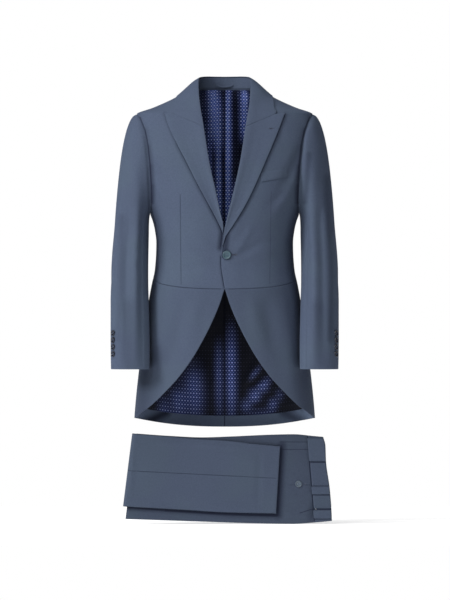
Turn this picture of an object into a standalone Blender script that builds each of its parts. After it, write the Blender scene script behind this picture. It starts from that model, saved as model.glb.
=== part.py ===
"""Two-piece suit: a one-button morning coat, filled out and hollow, and folded trousers.

The coat stands as its wearer would hold it. The origin is the nape, where the collar
seam crosses the centre back, +Z is up and the fronts face -Y. The trousers lie folded in
the picture's plane below the hem. Tables hold real sizes in millimetres, and build_suit
makes every piece from them as one closed wall of cloth.
"""
import math
from collections import namedtuple

import bmesh
import bpy
from mathutils import Vector

MM = 0.001

# Cloth thicknesses and seams, in millimetres
SUITING = 2.0
LAPEL_CLOTH = 2.0
LINING_CLOTH = 1.0
SEAM_GAP = 0.3
LAID_GAP = 0.6
LINING_GAP = 2.0

# The coat's form: half width, and half depth to the front and to the back, by height
FormRow = namedtuple("FormRow", "height half_width front back")
COAT_FORM = (
    FormRow(0, 72, 30, 66),
    FormRow(-6, 95.5, 45, 71),
    FormRow(-13, 107, 52.5, 76),
    FormRow(-28.5, 135, 64, 83),
    FormRow(-49.5, 182, 77, 91),
    FormRow(-66, 224.8, 86, 96),
    FormRow(-103, 236, 101, 105),
    FormRow(-148, 234.5, 114, 112),
    FormRow(-193, 226.5, 123, 116),
    FormRow(-245, 213, 129, 115),
    FormRow(-290, 199.5, 131, 112),
    FormRow(-322, 189.5, 130.5, 108),
    FormRow(-361, 178.5, 127, 102),
    FormRow(-395, 174.8, 122, 97),
    FormRow(-425, 175.2, 119, 95),
    FormRow(-463, 178.2, 118, 97),
    FormRow(-500, 186, 119, 103),
    FormRow(-542, 193.7, 121, 111),
    FormRow(-630, 206.5, 125, 119),
    FormRow(-716, 218.4, 129, 122),
    FormRow(-841, 230.4, 134, 124),
    FormRow(-875, 232, 135, 124),
)
SQUARENESS = 2.3

# Heights of the shoulder seam's rows, from the sleeve head to the neck
SHOULDER_ROWS = (-66, -57, -47, -36, -25, -14, -6, 0)

# Armhole
ARMHOLE_TOP = -66.0
ARMHOLE_BOTTOM = -322.0
ARMHOLE_FRONT = 74.0
ARMHOLE_BACK = 83.0
ARMHOLE_FULLNESS = 0.8

# Roll line down to the button, then the front edge, of the front that laps over (the
# wearer's left) and of the one under it, as distances from the centre
FrontRow = namedtuple("FrontRow", "height over under")
FRONT_EDGE = (
    FrontRow(0, 65.5, 65.5),
    FrontRow(-28, 64.2, 64.2),
    FrontRow(-95, 53.4, 53.4),
    FrontRow(-185, 39.5, 39.5),
    FrontRow(-271, 20.7, 20.5),
    FrontRow(-350, 1.7, 2.4),
    FrontRow(-376, -3.0, -8.5),
    FrontRow(-402, -6.9, -13.0),
    FrontRow(-425, -8.9, -15.5),
    FrontRow(-450, -8.9, -15.0),
    FrontRow(-480, -5.1, -9.5),
    FrontRow(-512, 0.6, -0.6),
)
LAP_STEP = 1.6
LAP_WIDTH = (22.0, 60.0)
LAP_TOP = (-330.0, -270.0)
LAP_END = (-512.0, -575.0)

# Seams of the coat's body
SIDE_SEAM_TURN = 73.0
SeamRow = namedtuple("SeamRow", "height across")
BACK_SEAM = (
    SeamRow(-220, 170),
    SeamRow(-232, 148),
    SeamRow(-252, 121),
    SeamRow(-285, 92),
    SeamRow(-330, 69),
    SeamRow(-385, 52),
    SeamRow(-455, 44),
    SeamRow(-560, 47),
    SeamRow(-700, 56),
    SeamRow(-880, 66),
)
BACK_SEAM_TOP = -220.0
WAIST_SEAM_FRONT = -512.0
WAIST_SEAM_RISE = 55.0

# Cutaway front edge of the skirts and the hem
CUTAWAY = (
    SeamRow(-512, 0.6),
    SeamRow(-544, 10.5),
    SeamRow(-583, 26.0),
    SeamRow(-622, 44.5),
    SeamRow(-664, 67.0),
    SeamRow(-703, 91.5),
    SeamRow(-740, 119.5),
    SeamRow(-774, 151.0),
    SeamRow(-808, 186.5),
    SeamRow(-841, 230.4),
)
HEM_SIDE = -841.0
HEM_DROP = 24.0

# Lapels: outer edge below the peak, and the line from the roll over the notch to the peak
LapelRow = namedtuple("LapelRow", "height over under")
LAPEL_EDGE = (
    LapelRow(-66.5, 153.5, 151.5),
    LapelRow(-100, 140.5, 140.5),
    LapelRow(-144, 122.1, 120.5),
    LapelRow(-190, 102.5, 96.5),
    LapelRow(-247, 78.0, 67.9),
    LapelRow(-301, 51.2, 38.8),
    LapelRow(-350, 21.2, 13.6),
    LapelRow(-369, 8.5, 6.2),
    LapelRow(-376, 3.6, 5.0),
    LapelRow(-402, -4.4, 5.0),
)
LAPEL_LOW = {"over": -400.0, "under": -369.0}
UNDER_LAPEL_ROLL = (SeamRow(-340, 5.0), SeamRow(-355, 3.6), SeamRow(-369, 4.8), SeamRow(-380, 5.0))
GORGE_ROLL = (52.6, -102.0)
GORGE_NOTCH = (127.2, -68.6)
PEAK_TIP = (152.5, -66.5)
ROLL_PUFF = 2.2
LAPEL_NOTCH_SHARE = 0.74

# Collar: the fold line's points, the fall's edge on the form and the fall's bulge
CollarRow = namedtuple("CollarRow", "fold_x fold_y fold_z edge_turn edge_z bulge")
COLLAR_ROWS = (
    CollarRow(52.6, -101.0, -102.0, 31.1, -68.6, 0.0),
    CollarRow(57.2, -91.0, -76.0, 36.8, -55.5, 0.0),
    CollarRow(61.2, -80.0, -51.0, 46.6, -42.5, 1.0),
    CollarRow(64.0, -64.0, -29.0, 58.5, -32.0, 2.0),
    CollarRow(65.8, -47.0, -12.0, 68.0, -26.5, 4.0),
    CollarRow(66.4, -31.0, 3.0, 79.0, -22.5, 5.0),
    CollarRow(66.8, -13.0, 15.5, 92.0, -19.0, 5.0),
    CollarRow(66.2, 6.0, 24.5, 107.0, -17.0, 5.0),
    CollarRow(63.0, 23.5, 29.0, 122.0, -16.0, 4.5),
    CollarRow(54.5, 40.0, 31.0, 138.0, -15.0, 4.0),
    CollarRow(39.5, 52.5, 31.8, 152.0, -14.5, 4.0),
    CollarRow(20.0, 59.5, 31.6, 166.0, -14.0, 4.0),
    CollarRow(0.0, 61.5, 31.4, 180.0, -13.5, 4.0),
)
COLLAR_SHARES = (0, 0.09, 0.22, 0.42, 0.64, 0.84, 1)
COLLAR_RISE = 0.9
COLLAR_FREE = (1.5, 4.5)
STAND_FIRST_ROW = 6
STAND_CLEAR = 4.4
STAND_CLOTH = 1.5

# Sleeves: the tube's centre and half sizes below the underarm, and the hind seam's angle
SleeveRow = namedtuple("SleeveRow", "height centre_x centre_y half_width half_depth hind_seam")
SLEEVE_ROWS = (
    SleeveRow(-350, 236.9, -5, 43.9, 68, -100),
    SleeveRow(-420, 240.4, -15, 46.1, 64, -85),
    SleeveRow(-500, 242.1, -35, 47.8, 58, -55),
    SleeveRow(-580, 240.9, -62, 49.1, 53, -22),
    SleeveRow(-660, 240.0, -85, 49.7, 50, 5),
    SleeveRow(-715.5, 239.6, -98, 49.0, 48, 13),
)
SLEEVE_SQUARENESS = 2.2
FORE_SEAM = 130.0
CAP_STEPS = (0, 0.1, 0.24, 0.42, 0.64, 1)
CAP_OUT = 0.38
CAP_FORWARD = 0.12
CAP_DOWN = 0.10
CAP_END = (0.06, 1.04)

# Lining and hem facing of the back: the lining's rows and the turn of its outer side
FACING_HEIGHT = 28.0
LiningRow = namedtuple("LiningRow", "height side_turn")
LINING_ROWS = (
    LiningRow(-760, 93),
    LiningRow(-690, 93),
    LiningRow(-620, 93),
    LiningRow(-555, 93),
    LiningRow(-505, 93),
    LiningRow(-463, 93),
    LiningRow(-425, 93),
    LiningRow(-388, 93),
    LiningRow(-350, 94),
    LiningRow(-305, 112),
    LiningRow(-255, 128),
    LiningRow(-200, 138),
    LiningRow(-150, 144),
    LiningRow(-110, 151),
    LiningRow(-82, 156),
    LiningRow(-60, 154),
    LiningRow(-44, 147),
    LiningRow(-30, 142),
    LiningRow(-18, 136),
    LiningRow(-9, 128),
    LiningRow(-1, 116),
)

# Breast welt on the over front, by its lower corners
WELT_INNER = (93.0, -240.5)
WELT_OUTER = (160.0, -228.5)
WELT_HEIGHT = 23.0

# Buttons
FRONT_BUTTON = (5.4, -425.5)
FRONT_BUTTON_SIZE = (20.0, 3.4)
CUFF_BUTTON_HEIGHTS = (-624.0, -641.6, -659.2, -676.8)
CUFF_BUTTON_TURN = 33.0
CUFF_BUTTON_SIZE = (15.5, 3.0)
POCKET_BUTTON = (188.4, -1009.0)
POCKET_BUTTON_SIZE = (16.0, 2.8)

# Folded trousers: the pile's back and front, and its outline in the picture's plane
PILE_BACK = 9.5
PILE_FRONT = -9.2
LEG_LAYER = 3.6
LAYER_GAP = 0.3
EdgeRow = namedtuple("EdgeRow", "along height")
PILE_TOP = (
    EdgeRow(-260, -878.0),
    EdgeRow(-236, -879.8),
    EdgeRow(-136, -886.9),
    EdgeRow(-58, -890.4),
    EdgeRow(20, -887.9),
    EdgeRow(117, -883.6),
    EdgeRow(176, -882.4),
    EdgeRow(227, -886.9),
    EdgeRow(262, -890.0),
)
PILE_BOTTOM = (
    EdgeRow(-260, -1098.4),
    EdgeRow(-60, -1105.2),
    EdgeRow(80, -1109.8),
    EdgeRow(172, -1111.2),
    EdgeRow(231, -1107.6),
    EdgeRow(275, -1103.4),
)
LEG_TOP = (
    EdgeRow(-260, -878.4),
    EdgeRow(-236, -880.2),
    EdgeRow(-136, -888.6),
    EdgeRow(-63, -894.6),
    EdgeRow(14, -899.6),
    EdgeRow(77, -906.4),
    EdgeRow(142, -912.4),
)
LEG_BOTTOM = (
    EdgeRow(-260, -1066.4),
    EdgeRow(-140, -1073.0),
    EdgeRow(0, -1081.2),
    EdgeRow(132, -1084.8),
)
KNEE_FOLD = (-235.9, -259.3)
LEG_HEM = (141.5, 131.1)
SEAT_END = (211.5, 229.0)
BAND_INNER = (212.5, 230.0)
BAND_OUTER = (
    EdgeRow(251.2, -889),
    EdgeRow(257.0, -910),
    EdgeRow(258.6, -950),
    EdgeRow(267.8, -1018),
    EdgeRow(272.6, -1077),
    EdgeRow(273.6, -1104),
)
BAND_FRONT = -3.6
TAB_HEIGHTS = (-892.0, -950.5)
LOOP_HEIGHTS = ((-1015.8, -1035.2), (-1076.0, -1097.0))
LOOP_THICKNESS = 2.2

# Finishes: colour, roughness and metallic value of each kind of piece
FINISHES = {
    "suiting": ((0.070, 0.092, 0.145, 1.0), 0.86, 0.0),
    "lining": ((0.030, 0.042, 0.150, 1.0), 0.45, 0.0),
    "blue_button": ((0.060, 0.105, 0.190, 1.0), 0.35, 0.0),
    "dark_button": ((0.012, 0.014, 0.022, 1.0), 0.32, 0.0),
}


class Profile:
    """A smooth line without overshoot through the rows of a table."""

    def __init__(self, rows, along, value):
        pairs = sorted((getattr(row, along), getattr(row, value)) for row in rows)
        self.places = [place for place, _ in pairs]
        self.values = [amount for _, amount in pairs]
        steps = [b - a for a, b in zip(self.places, self.places[1:])]
        rises = [(b - a) / step for a, b, step in zip(self.values, self.values[1:], steps)]
        self.slopes = [rises[0]] + [0.0] * (len(pairs) - 2) + [rises[-1]]
        for i in range(1, len(pairs) - 1):
            before, after = rises[i - 1], rises[i]
            if before * after > 0:
                self.slopes[i] = 2 * before * after / (before + after)

    def __call__(self, place):
        places, values, slopes = self.places, self.values, self.slopes
        place = min(max(place, places[0]), places[-1])
        i = 0
        while i < len(places) - 2 and place > places[i + 1]:
            i += 1
        width = places[i + 1] - places[i]
        t = (place - places[i]) / width
        start = values[i] * (2 * t**3 - 3 * t**2 + 1) + slopes[i] * width * (t**3 - 2 * t**2 + t)
        end = values[i + 1] * (3 * t**2 - 2 * t**3) + slopes[i + 1] * width * (t**3 - t**2)
        return start + end


HALF_WIDTH = Profile(COAT_FORM, "height", "half_width")
FRONT_DEPTH = Profile(COAT_FORM, "height", "front")
BACK_DEPTH = Profile(COAT_FORM, "height", "back")
FRONT_LINE = {side: Profile(FRONT_EDGE, "height", side) for side in ("over", "under")}
LAPEL_LINE = {side: Profile(LAPEL_EDGE, "height", side) for side in ("over", "under")}
UNDER_ROLL = Profile(UNDER_LAPEL_ROLL, "height", "across")
BACK_LINE = Profile(BACK_SEAM, "height", "across")
CUTAWAY_LINE = Profile(CUTAWAY, "height", "across")


def lerp(a, b, t):
    """The value a share t of the way from a to b."""
    return a + (b - a) * t


def smoothstep(start, end, value):
    """0 before start, 1 past end and a soft rise between them."""
    t = min(max((value - start) / (end - start), 0.0), 1.0)
    return t * t * (3 - 2 * t)


def spread(count):
    """count + 1 even shares from 0 to 1."""
    return [i / count for i in range(count + 1)]


def eased(count):
    """Shares from 0 to 1 that grow closer towards 1."""
    return [math.sin(0.5 * math.pi * share) for share in spread(count)]


def rounded_shares(count):
    """Shares from 0 to 1 that are closest at both ends."""
    return [0.5 - 0.5 * math.cos(math.pi * share) for share in spread(count)]


# The form that the coat's panels follow

def form_point(turn, height):
    """The form's point at a turn in degrees from the centre front, and a height."""
    side, fore = math.sin(math.radians(turn)), math.cos(math.radians(turn))
    depth = FRONT_DEPTH(height) if fore > 0 else BACK_DEPTH(height)
    x = HALF_WIDTH(height) * math.copysign(abs(side) ** (2 / SQUARENESS), side)
    y = -depth * math.copysign(abs(fore) ** (2 / SQUARENESS), fore)
    return Vector((x, y, height))


def fullness(point, height):
    """How full the form's section is at a point: 1 on the form, less inside it."""
    depth = FRONT_DEPTH(height) if point.y < 0 else BACK_DEPTH(height)
    across = abs(point.x) / HALF_WIDTH(height)
    return across**SQUARENESS + (abs(point.y) / depth) ** SQUARENESS


def form_normal(point):
    """The outward direction of the form at a point on it."""
    depth = FRONT_DEPTH(point.z) if point.y < 0 else BACK_DEPTH(point.z)
    width = HALF_WIDTH(point.z)
    power = SQUARENESS - 1
    across = SQUARENESS * math.copysign(abs(point.x / width) ** power, point.x) / width
    deep = SQUARENESS * math.copysign(abs(point.y / depth) ** power, point.y) / depth
    step = 1.5
    rise = (fullness(point, point.z + step) - fullness(point, point.z - step)) / (2 * step)
    return Vector((across, deep, rise)).normalized()


def front_turn(across, height):
    """The turn of the front's point at a distance from the centre."""
    share = min(abs(across) / HALF_WIDTH(height), 1.0)
    return math.copysign(math.degrees(math.asin(share ** (SQUARENESS / 2))), across)


def back_turn(across, height):
    """The turn of the back's point at a distance from the centre."""
    return 180.0 - front_turn(across, height)


def lap_shift(point, side):
    """How far a front lies out (over) or in (under) where the fronts lap."""
    near_centre = 1 - smoothstep(LAP_WIDTH[0], LAP_WIDTH[1], point.x)
    below_top = smoothstep(-LAP_TOP[1], -LAP_TOP[0], -point.z)
    above_end = 1 - smoothstep(-LAP_END[0], -LAP_END[1], -point.z)
    amount = LAP_STEP * near_centre * below_top * above_end
    return amount if side == "over" else -amount


def on_form(turn, height, proud=0.0, side=None):
    """A point moved out from the form, and the outward direction there."""
    base = form_point(turn, height)
    normal = form_normal(base)
    if side and turn < 90:
        proud += lap_shift(base, side)
    return base + normal * proud, normal


# Lines on the form

def waist_seam(turn):
    """The waist seam's height: lowest at the centre front, rising to the back."""
    return WAIST_SEAM_FRONT + WAIST_SEAM_RISE * (1 - math.cos(math.radians(turn))) / 2


def hem_height(turn):
    """The hem's height behind the side, lowest at the centre back."""
    past_side = math.radians(max(turn - 90.0, 0.0))
    return HEM_SIDE - HEM_DROP * (1 - math.cos(2 * past_side)) / 2


def armhole_turn(height, at_back):
    """The turn of the armhole's front or back edge at a height."""
    middle = (ARMHOLE_TOP + ARMHOLE_BOTTOM) / 2
    reach = (ARMHOLE_TOP - ARMHOLE_BOTTOM) / 2
    share = min(max((height - middle) / reach, -1.0), 1.0)
    swing = math.sin(math.acos(share)) ** ARMHOLE_FULLNESS
    if at_back:
        depth = ARMHOLE_BACK * swing / BACK_DEPTH(height)
        return 180.0 - math.degrees(math.acos(depth ** (SQUARENESS / 2)))
    depth = ARMHOLE_FRONT * swing / FRONT_DEPTH(height)
    return math.degrees(math.acos(depth ** (SQUARENESS / 2)))


def armhole_heights(low, count):
    """Heights from a low one to the armhole's top, evenly spaced along its edge."""
    middle = (ARMHOLE_TOP + ARMHOLE_BOTTOM) / 2
    reach = (ARMHOLE_TOP - ARMHOLE_BOTTOM) / 2
    start = math.acos((low - middle) / reach)
    heights = [middle + reach * math.cos(start * (1 - share)) for share in spread(count)]
    return heights[:-1] + [ARMHOLE_TOP]


def armhole_floor(turn):
    """The height of the armhole's lower edge at a turn."""
    at_back = turn > 90
    low, high = ARMHOLE_BOTTOM, (ARMHOLE_TOP + ARMHOLE_BOTTOM) / 2
    for _ in range(40):
        middle = (low + high) / 2
        edge = armhole_turn(middle, at_back)
        opened = edge < turn if not at_back else edge > turn
        if opened:
            high = middle
        else:
            low = middle
    return (low + high) / 2


FRONT_JUNCTION = armhole_floor(SIDE_SEAM_TURN)
BACK_JUNCTION_TURN = armhole_turn(BACK_SEAM_TOP, True)


def back_seam_turn(height):
    """The turn of the back seam, from the armhole down to the hem."""
    return back_turn(BACK_LINE(height), height)


# Walls of cloth

def trim(grid, sides, half=SEAM_GAP / 2):
    """Draw a grid's named edges in by half a seam gap, or by the amount given."""
    rows, columns = len(grid), len(grid[0])

    def pulled(edge_point, next_point):
        return edge_point + (next_point - edge_point).normalized() * half

    if "first" in sides:
        for j in range(rows):
            grid[j][0] = pulled(grid[j][0], grid[j][1])
    if "last" in sides:
        for j in range(rows):
            grid[j][-1] = pulled(grid[j][-1], grid[j][-2])
    if "bottom" in sides:
        grid[0] = [pulled(grid[0][i], grid[1][i]) for i in range(columns)]
    if "top" in sides:
        grid[-1] = [pulled(grid[-1][i], grid[-2][i]) for i in range(columns)]
    return grid


def finish_material(finish):
    """The material of a finish, made once."""
    material = bpy.data.materials.get(finish)
    if material is None:
        colour, roughness, metallic = FINISHES[finish]
        material = bpy.data.materials.new(finish)
        material.use_nodes = True
        shader = material.node_tree.nodes["Principled BSDF"]
        shader.inputs["Base Color"].default_value = colour
        shader.inputs["Roughness"].default_value = roughness
        shader.inputs["Metallic"].default_value = metallic
    return material


def add_piece(name, points, faces, finish):
    """Add one named solid from points in millimetres, with its faces pointing out."""
    mesh = bpy.data.meshes.new(name)
    mesh.from_pydata([point * MM for point in points], [], faces)
    shape = bmesh.new()
    shape.from_mesh(mesh)
    bmesh.ops.recalc_face_normals(shape, faces=shape.faces)
    shape.to_mesh(mesh)
    shape.free()
    mesh.shade_smooth()
    mesh.set_sharp_from_angle(angle=math.radians(40))
    mesh.materials.append(finish_material(finish))
    piece = bpy.data.objects.new(name, mesh)
    bpy.context.collection.objects.link(piece)
    return piece


def closed_wall(name, outer, inner, finish, mirror=False, closed=False):
    """One closed wall between two grids of points, which may run round to their start.

    Both sides of the wall are cut into the same triangles."""
    rows, columns = len(outer), len(outer[0])
    points = [point.copy() for grid in (outer, inner) for row in grid for point in row]
    if mirror:
        for point in points:
            point.x = -point.x
    layer = rows * columns
    last = columns if closed else columns - 1
    faces = []
    for j in range(rows - 1):
        for i in range(last):
            a, b = j * columns + i, j * columns + (i + 1) % columns
            c, d = b + columns, a + columns
            halves = ((a, b, c), (a, c, d))
            if (points[b] - points[d]).length < (points[a] - points[c]).length:
                halves = ((a, b, d), (b, c, d))
            for half in halves:
                faces.append(half)
                faces.append(tuple(layer + corner for corner in reversed(half)))
    for i in range(last):
        a, b = i, (i + 1) % columns
        faces.append((b, a, layer + a, layer + b))
        a, b = a + (rows - 1) * columns, b + (rows - 1) * columns
        faces.append((a, b, layer + b, layer + a))
    if not closed:
        for j in range(rows - 1):
            a = j * columns
            faces.append((a, a + columns, layer + a + columns, layer + a))
            a += columns - 1
            faces.append((a + columns, a, layer + a, layer + a + columns))
    return add_piece(name, points, faces, finish)


def form_wall(name, places, cloth, finish, seams, proud=0.0, side=None, mirror=False):
    """A panel on the form from rows of (turn, height) places."""
    outer, inner = [], []
    for row in places:
        spots = [on_form(turn, height, proud, side) for turn, height in row]
        outer.append([point for point, _ in spots])
        inner.append([point - normal * cloth for point, normal in spots])
    trim(outer, seams)
    trim(inner, seams)
    closed_wall(name, outer, inner, finish, mirror)
    return outer


def grid_normals(grid, closed=False):
    """The direction across a free grid at each point, from its neighbours."""
    rows, columns = len(grid), len(grid[0])
    normals = []
    for j in range(rows):
        line = []
        for i in range(columns):
            before, after = max(i - 1, 0), min(i + 1, columns - 1)
            if closed:
                before, after = i - 1, (i + 1) % columns
            along = grid[j][after] - grid[j][before]
            up = grid[min(j + 1, rows - 1)][i] - grid[max(j - 1, 0)][i]
            line.append(along.cross(up).normalized())
        normals.append(line)
    return normals


# Coat body

FRONT_SHARES = [share**1.2 for share in spread(8)]
SIDE_SHARES = spread(7)
BACK_SHARES = spread(6)
LOW_RISES = eased(8)
ARMHOLE_FRONT_STEPS = 8
ARMHOLE_BACK_STEPS = 6
SKIRT_RISES = (0, 0.005, 0.018, 0.037, 0.068, 0.115, 0.18, 0.27, 0.38, 0.52, 0.67, 0.84, 1)


def forepart_places(side):
    """Rows of places of a forepart, from the waist seam up to the neck."""
    def inner_turn(height):
        return front_turn(FRONT_LINE[side](height), height)

    rows = []
    for rise in LOW_RISES:
        row = []
        for share in FRONT_SHARES:
            turn = SIDE_SEAM_TURN * share
            for _ in range(6):
                height = lerp(waist_seam(turn), FRONT_JUNCTION, rise)
                turn = lerp(inner_turn(height), SIDE_SEAM_TURN, share)
            row.append((turn, height))
        rows.append(row)
    heights = armhole_heights(FRONT_JUNCTION, ARMHOLE_FRONT_STEPS)[1:]
    for height in heights + list(SHOULDER_ROWS[1:]):
        outer_turn = armhole_turn(height, False) if height < ARMHOLE_TOP else 90.0
        row = [(lerp(inner_turn(height), outer_turn, share), height) for share in FRONT_SHARES]
        rows.append(row)
    return rows


def side_body_places():
    """Rows of places of a side body, from the waist seam up to the underarm."""
    rows = []
    for rise in LOW_RISES:
        front_height = lerp(waist_seam(SIDE_SEAM_TURN), FRONT_JUNCTION, rise)
        back_low = waist_seam(back_seam_turn(WAIST_SEAM_FRONT + WAIST_SEAM_RISE))
        back_height = lerp(back_low, BACK_SEAM_TOP, rise)
        last_turn = lerp_guard(back_seam_turn(back_height), rise)
        row = []
        for share in SIDE_SHARES:
            turn = lerp(SIDE_SEAM_TURN, last_turn, share)
            top_turn = lerp(SIDE_SEAM_TURN, BACK_JUNCTION_TURN, share)
            ceiling = armhole_floor(top_turn) if 0 < share < 1 else FRONT_JUNCTION
            if share == 0:
                height = front_height
            elif share == 1:
                height = back_height
            else:
                height = lerp(waist_seam(turn), ceiling, rise)
            row.append((turn, height))
        rows.append(row)
    return rows


def lerp_guard(turn, rise):
    """The back seam's turn, exactly at the armhole's edge on its last row."""
    return BACK_JUNCTION_TURN if rise >= 1 else turn


def back_places():
    """Rows of places of a back panel, from the hem up to the neck."""
    rows = []
    low = waist_seam(back_seam_turn(WAIST_SEAM_FRONT + WAIST_SEAM_RISE))
    for rise in SKIRT_RISES[:-1]:
        row = []
        for share in BACK_SHARES:
            turn = 170.0
            for _ in range(6):
                height = lerp(hem_height(turn), low, rise)
                turn = lerp(back_seam_turn(height), 180.0, share)
            row.append((turn, height))
        rows.append(row)
    for rise in LOW_RISES:
        height = lerp(low, BACK_SEAM_TOP, rise)
        first = lerp_guard(back_seam_turn(height), rise)
        rows.append([(lerp(first, 180.0, share), height) for share in BACK_SHARES])
    heights = armhole_heights(BACK_SEAM_TOP, ARMHOLE_BACK_STEPS)[1:]
    for height in heights + list(SHOULDER_ROWS[1:]):
        first = armhole_turn(height, True) if height < ARMHOLE_TOP else 90.0
        rows.append([(lerp(first, 180.0, share), height) for share in BACK_SHARES])
    return rows


def skirt_places(side):
    """Rows of places of a skirt, from the hem up to the waist seam."""
    waist_row = [turn for turn, _ in forepart_places(side)[0]]
    waist_row += [turn for turn, _ in side_body_places()[0]][1:]
    first, last = waist_row[0], waist_row[-1]
    low = waist_seam(last)
    rows = []
    for rise in SKIRT_RISES:
        row = []
        for waist_turn in waist_row:
            share = (waist_turn - first) / (last - first)
            turn = waist_turn
            for _ in range(8):
                height = lerp(hem_height(turn), waist_seam(turn), rise)
                edge_height = lerp(HEM_SIDE, waist_seam(first), rise)
                front = front_turn(CUTAWAY_LINE(edge_height), edge_height)
                if rise >= 1:
                    front = first
                back_height = lerp(hem_height(turn), low, rise)
                turn = lerp(front, back_seam_turn(back_height), share)
            row.append((turn, height))
        rows.append(row)
    return rows


def lining_places():
    """Rows of places of a back lining, from the facing up to the collar."""
    turns = [lerp(LINING_ROWS[0].side_turn, 180.0, share) for share in spread(8)]
    rows = [[(turn, hem_height(turn) + FACING_HEIGHT) for turn in turns]]
    for row in LINING_ROWS:
        rows.append([(lerp(row.side_turn, 180.0, share), row.height) for share in spread(8)])
    return rows


def facing_places():
    """Rows of places of the hem facing, from the hem up to the lining."""
    rows = []
    for rise in spread(2):
        row = []
        for share in spread(12):
            turn = lerp(LINING_ROWS[0].side_turn, 180.0, share)
            row.append((turn, hem_height(turn) + lerp(0.5, FACING_HEIGHT, rise)))
        rows.append(row)
    return rows


def build_body(side, mirror):
    """Forepart, side body, back, skirt, lining and facing of one side.

    Returns the armhole's loop of points, from the front junction over the shoulder to
    the back junction, and then round under the arm."""
    hand = "right" if mirror else "left"
    fore = form_wall(f"forepart_{hand}", forepart_places(side), SUITING, "suiting",
                     ("bottom", "last"), side=side, mirror=mirror)
    body = form_wall(f"side_body_{hand}", side_body_places(), SUITING, "suiting",
                     ("first", "last", "bottom", "top"), mirror=mirror)
    back = form_wall(f"back_{hand}", back_places(), SUITING, "suiting",
                     ("first", "last", "top"), mirror=mirror)
    form_wall(f"skirt_{hand}", skirt_places(side), SUITING, "suiting",
              ("last", "top"), side=side, mirror=mirror)
    inside = -(SUITING + LINING_GAP)
    form_wall(f"back_lining_{hand}", lining_places(), LINING_CLOTH, "lining",
              ("last", "bottom"), proud=inside, mirror=mirror)
    form_wall(f"hem_facing_{hand}", facing_places(), LINING_CLOTH, "suiting",
              ("last", "top"), proud=inside, mirror=mirror)
    low = len(LOW_RISES) - 1
    front_edge = [row[-1] for row in fore[low:low + ARMHOLE_FRONT_STEPS + 1]]
    start = len(SKIRT_RISES) - 1 + low
    back_edge = [row[0] for row in back[start:start + ARMHOLE_BACK_STEPS + 1]]
    over_shoulder = front_edge + back_edge[-2::-1]
    under_arm = [back_edge[0]] + body[-1][-2:0:-1] + [front_edge[0]]
    return over_shoulder, under_arm


# Sleeves

SLEEVE_LINE = {column: Profile(SLEEVE_ROWS, "height", column) for column in SleeveRow._fields[1:]}


def sleeve_point(turn, height, proud=0.0):
    """A point of the sleeve's tube: turn 0 is outward and 90 is to the front."""
    out, fore = math.cos(math.radians(turn)), math.sin(math.radians(turn))
    power = 2 / SLEEVE_SQUARENESS
    width = SLEEVE_LINE["half_width"](height) + proud
    depth = SLEEVE_LINE["half_depth"](height) + proud
    x = SLEEVE_LINE["centre_x"](height) + width * math.copysign(abs(out) ** power, out)
    y = SLEEVE_LINE["centre_y"](height) - depth * math.copysign(abs(fore) ** power, fore)
    return Vector((x, y, height))


def cap_point(start, end, step):
    """A point of the sleeve head between the armhole and the tube's first ring."""
    reach = (end - start).length
    sway = CAP_FORWARD * max(-1.0, min(1.0, start.y / ARMHOLE_FRONT))
    leave = Vector((CAP_OUT, sway, -CAP_DOWN)) * reach
    arrive = Vector((CAP_END[0], 0.0, -CAP_END[1])) * reach
    t = step
    return (start * (2 * t**3 - 3 * t**2 + 1) + leave * (t**3 - 2 * t**2 + t)
            + end * (3 * t**2 - 2 * t**3) + arrive * (t**3 - t**2))


def sleeve_grid(loop, first_turn, last_turn):
    """Rows of points of one sleeve panel, from the cuff up to the armhole.

    first_turn and last_turn give the seams' angles at a height."""
    columns = len(loop)
    top, bottom = SLEEVE_ROWS[0].height, SLEEVE_ROWS[-1].height
    rows = []
    for rise in spread(8)[:-1]:
        height = lerp(bottom, top, rise)
        turns = [lerp(first_turn(height), last_turn(height), i / (columns - 1))
                 for i in range(columns)]
        rows.append([sleeve_point(turn, height) for turn in turns])
    ring = [sleeve_point(lerp(first_turn(top), last_turn(top), i / (columns - 1)), top)
            for i in range(columns)]
    for step in reversed(CAP_STEPS):
        rows.append([cap_point(start, end, step) for start, end in zip(loop, ring)])
    rows[-1] = [point + Vector((SEAM_GAP, 0, 0)) for point in rows[-1]]
    return rows


def build_sleeve(loops, mirror):
    """Upper and under sleeve of one side, and the cuff's four buttons."""
    hand = "right" if mirror else "left"

    def fore(_height):
        return FORE_SEAM

    def hind(height):
        return SLEEVE_LINE["hind_seam"](height)

    def fore_under(_height):
        return FORE_SEAM - 360.0

    over_shoulder, under_arm = loops
    upper = sleeve_grid(over_shoulder, fore, hind)
    under = sleeve_grid(under_arm, hind, fore_under)
    ring = [top_row + low_row[1:-1] for top_row, low_row in zip(upper, under)]
    ring_inner = [[point - normal * SUITING for point, normal in zip(row, line)]
                  for row, line in zip(ring, grid_normals(ring, closed=True))]
    seam = len(over_shoulder) - 1
    panels = (("sleeve_upper", upper, [row[:seam + 1] for row in ring_inner]),
              ("sleeve_under", under, [row[seam:] + row[:1] for row in ring_inner]))
    for name, outer, inner in panels:
        trim(outer, ("first", "last"), SEAM_GAP)
        trim(inner, ("first", "last"), SEAM_GAP)
        closed_wall(f"{name}_{hand}", outer, inner, "suiting", mirror)
    for number, height in enumerate(CUFF_BUTTON_HEIGHTS, start=1):
        seat = sleeve_point(CUFF_BUTTON_TURN, height)
        beside = sleeve_point(CUFF_BUTTON_TURN + 4, height)
        below = sleeve_point(CUFF_BUTTON_TURN, height - 6)
        facing = (below - seat).cross(beside - seat).normalized()
        if facing.x < 0:
            facing = -facing
        add_button(f"cuff_button_{hand}_{number}", seat, facing, CUFF_BUTTON_SIZE,
                   "dark_button", 10, mirror)


# Buttons

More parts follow.
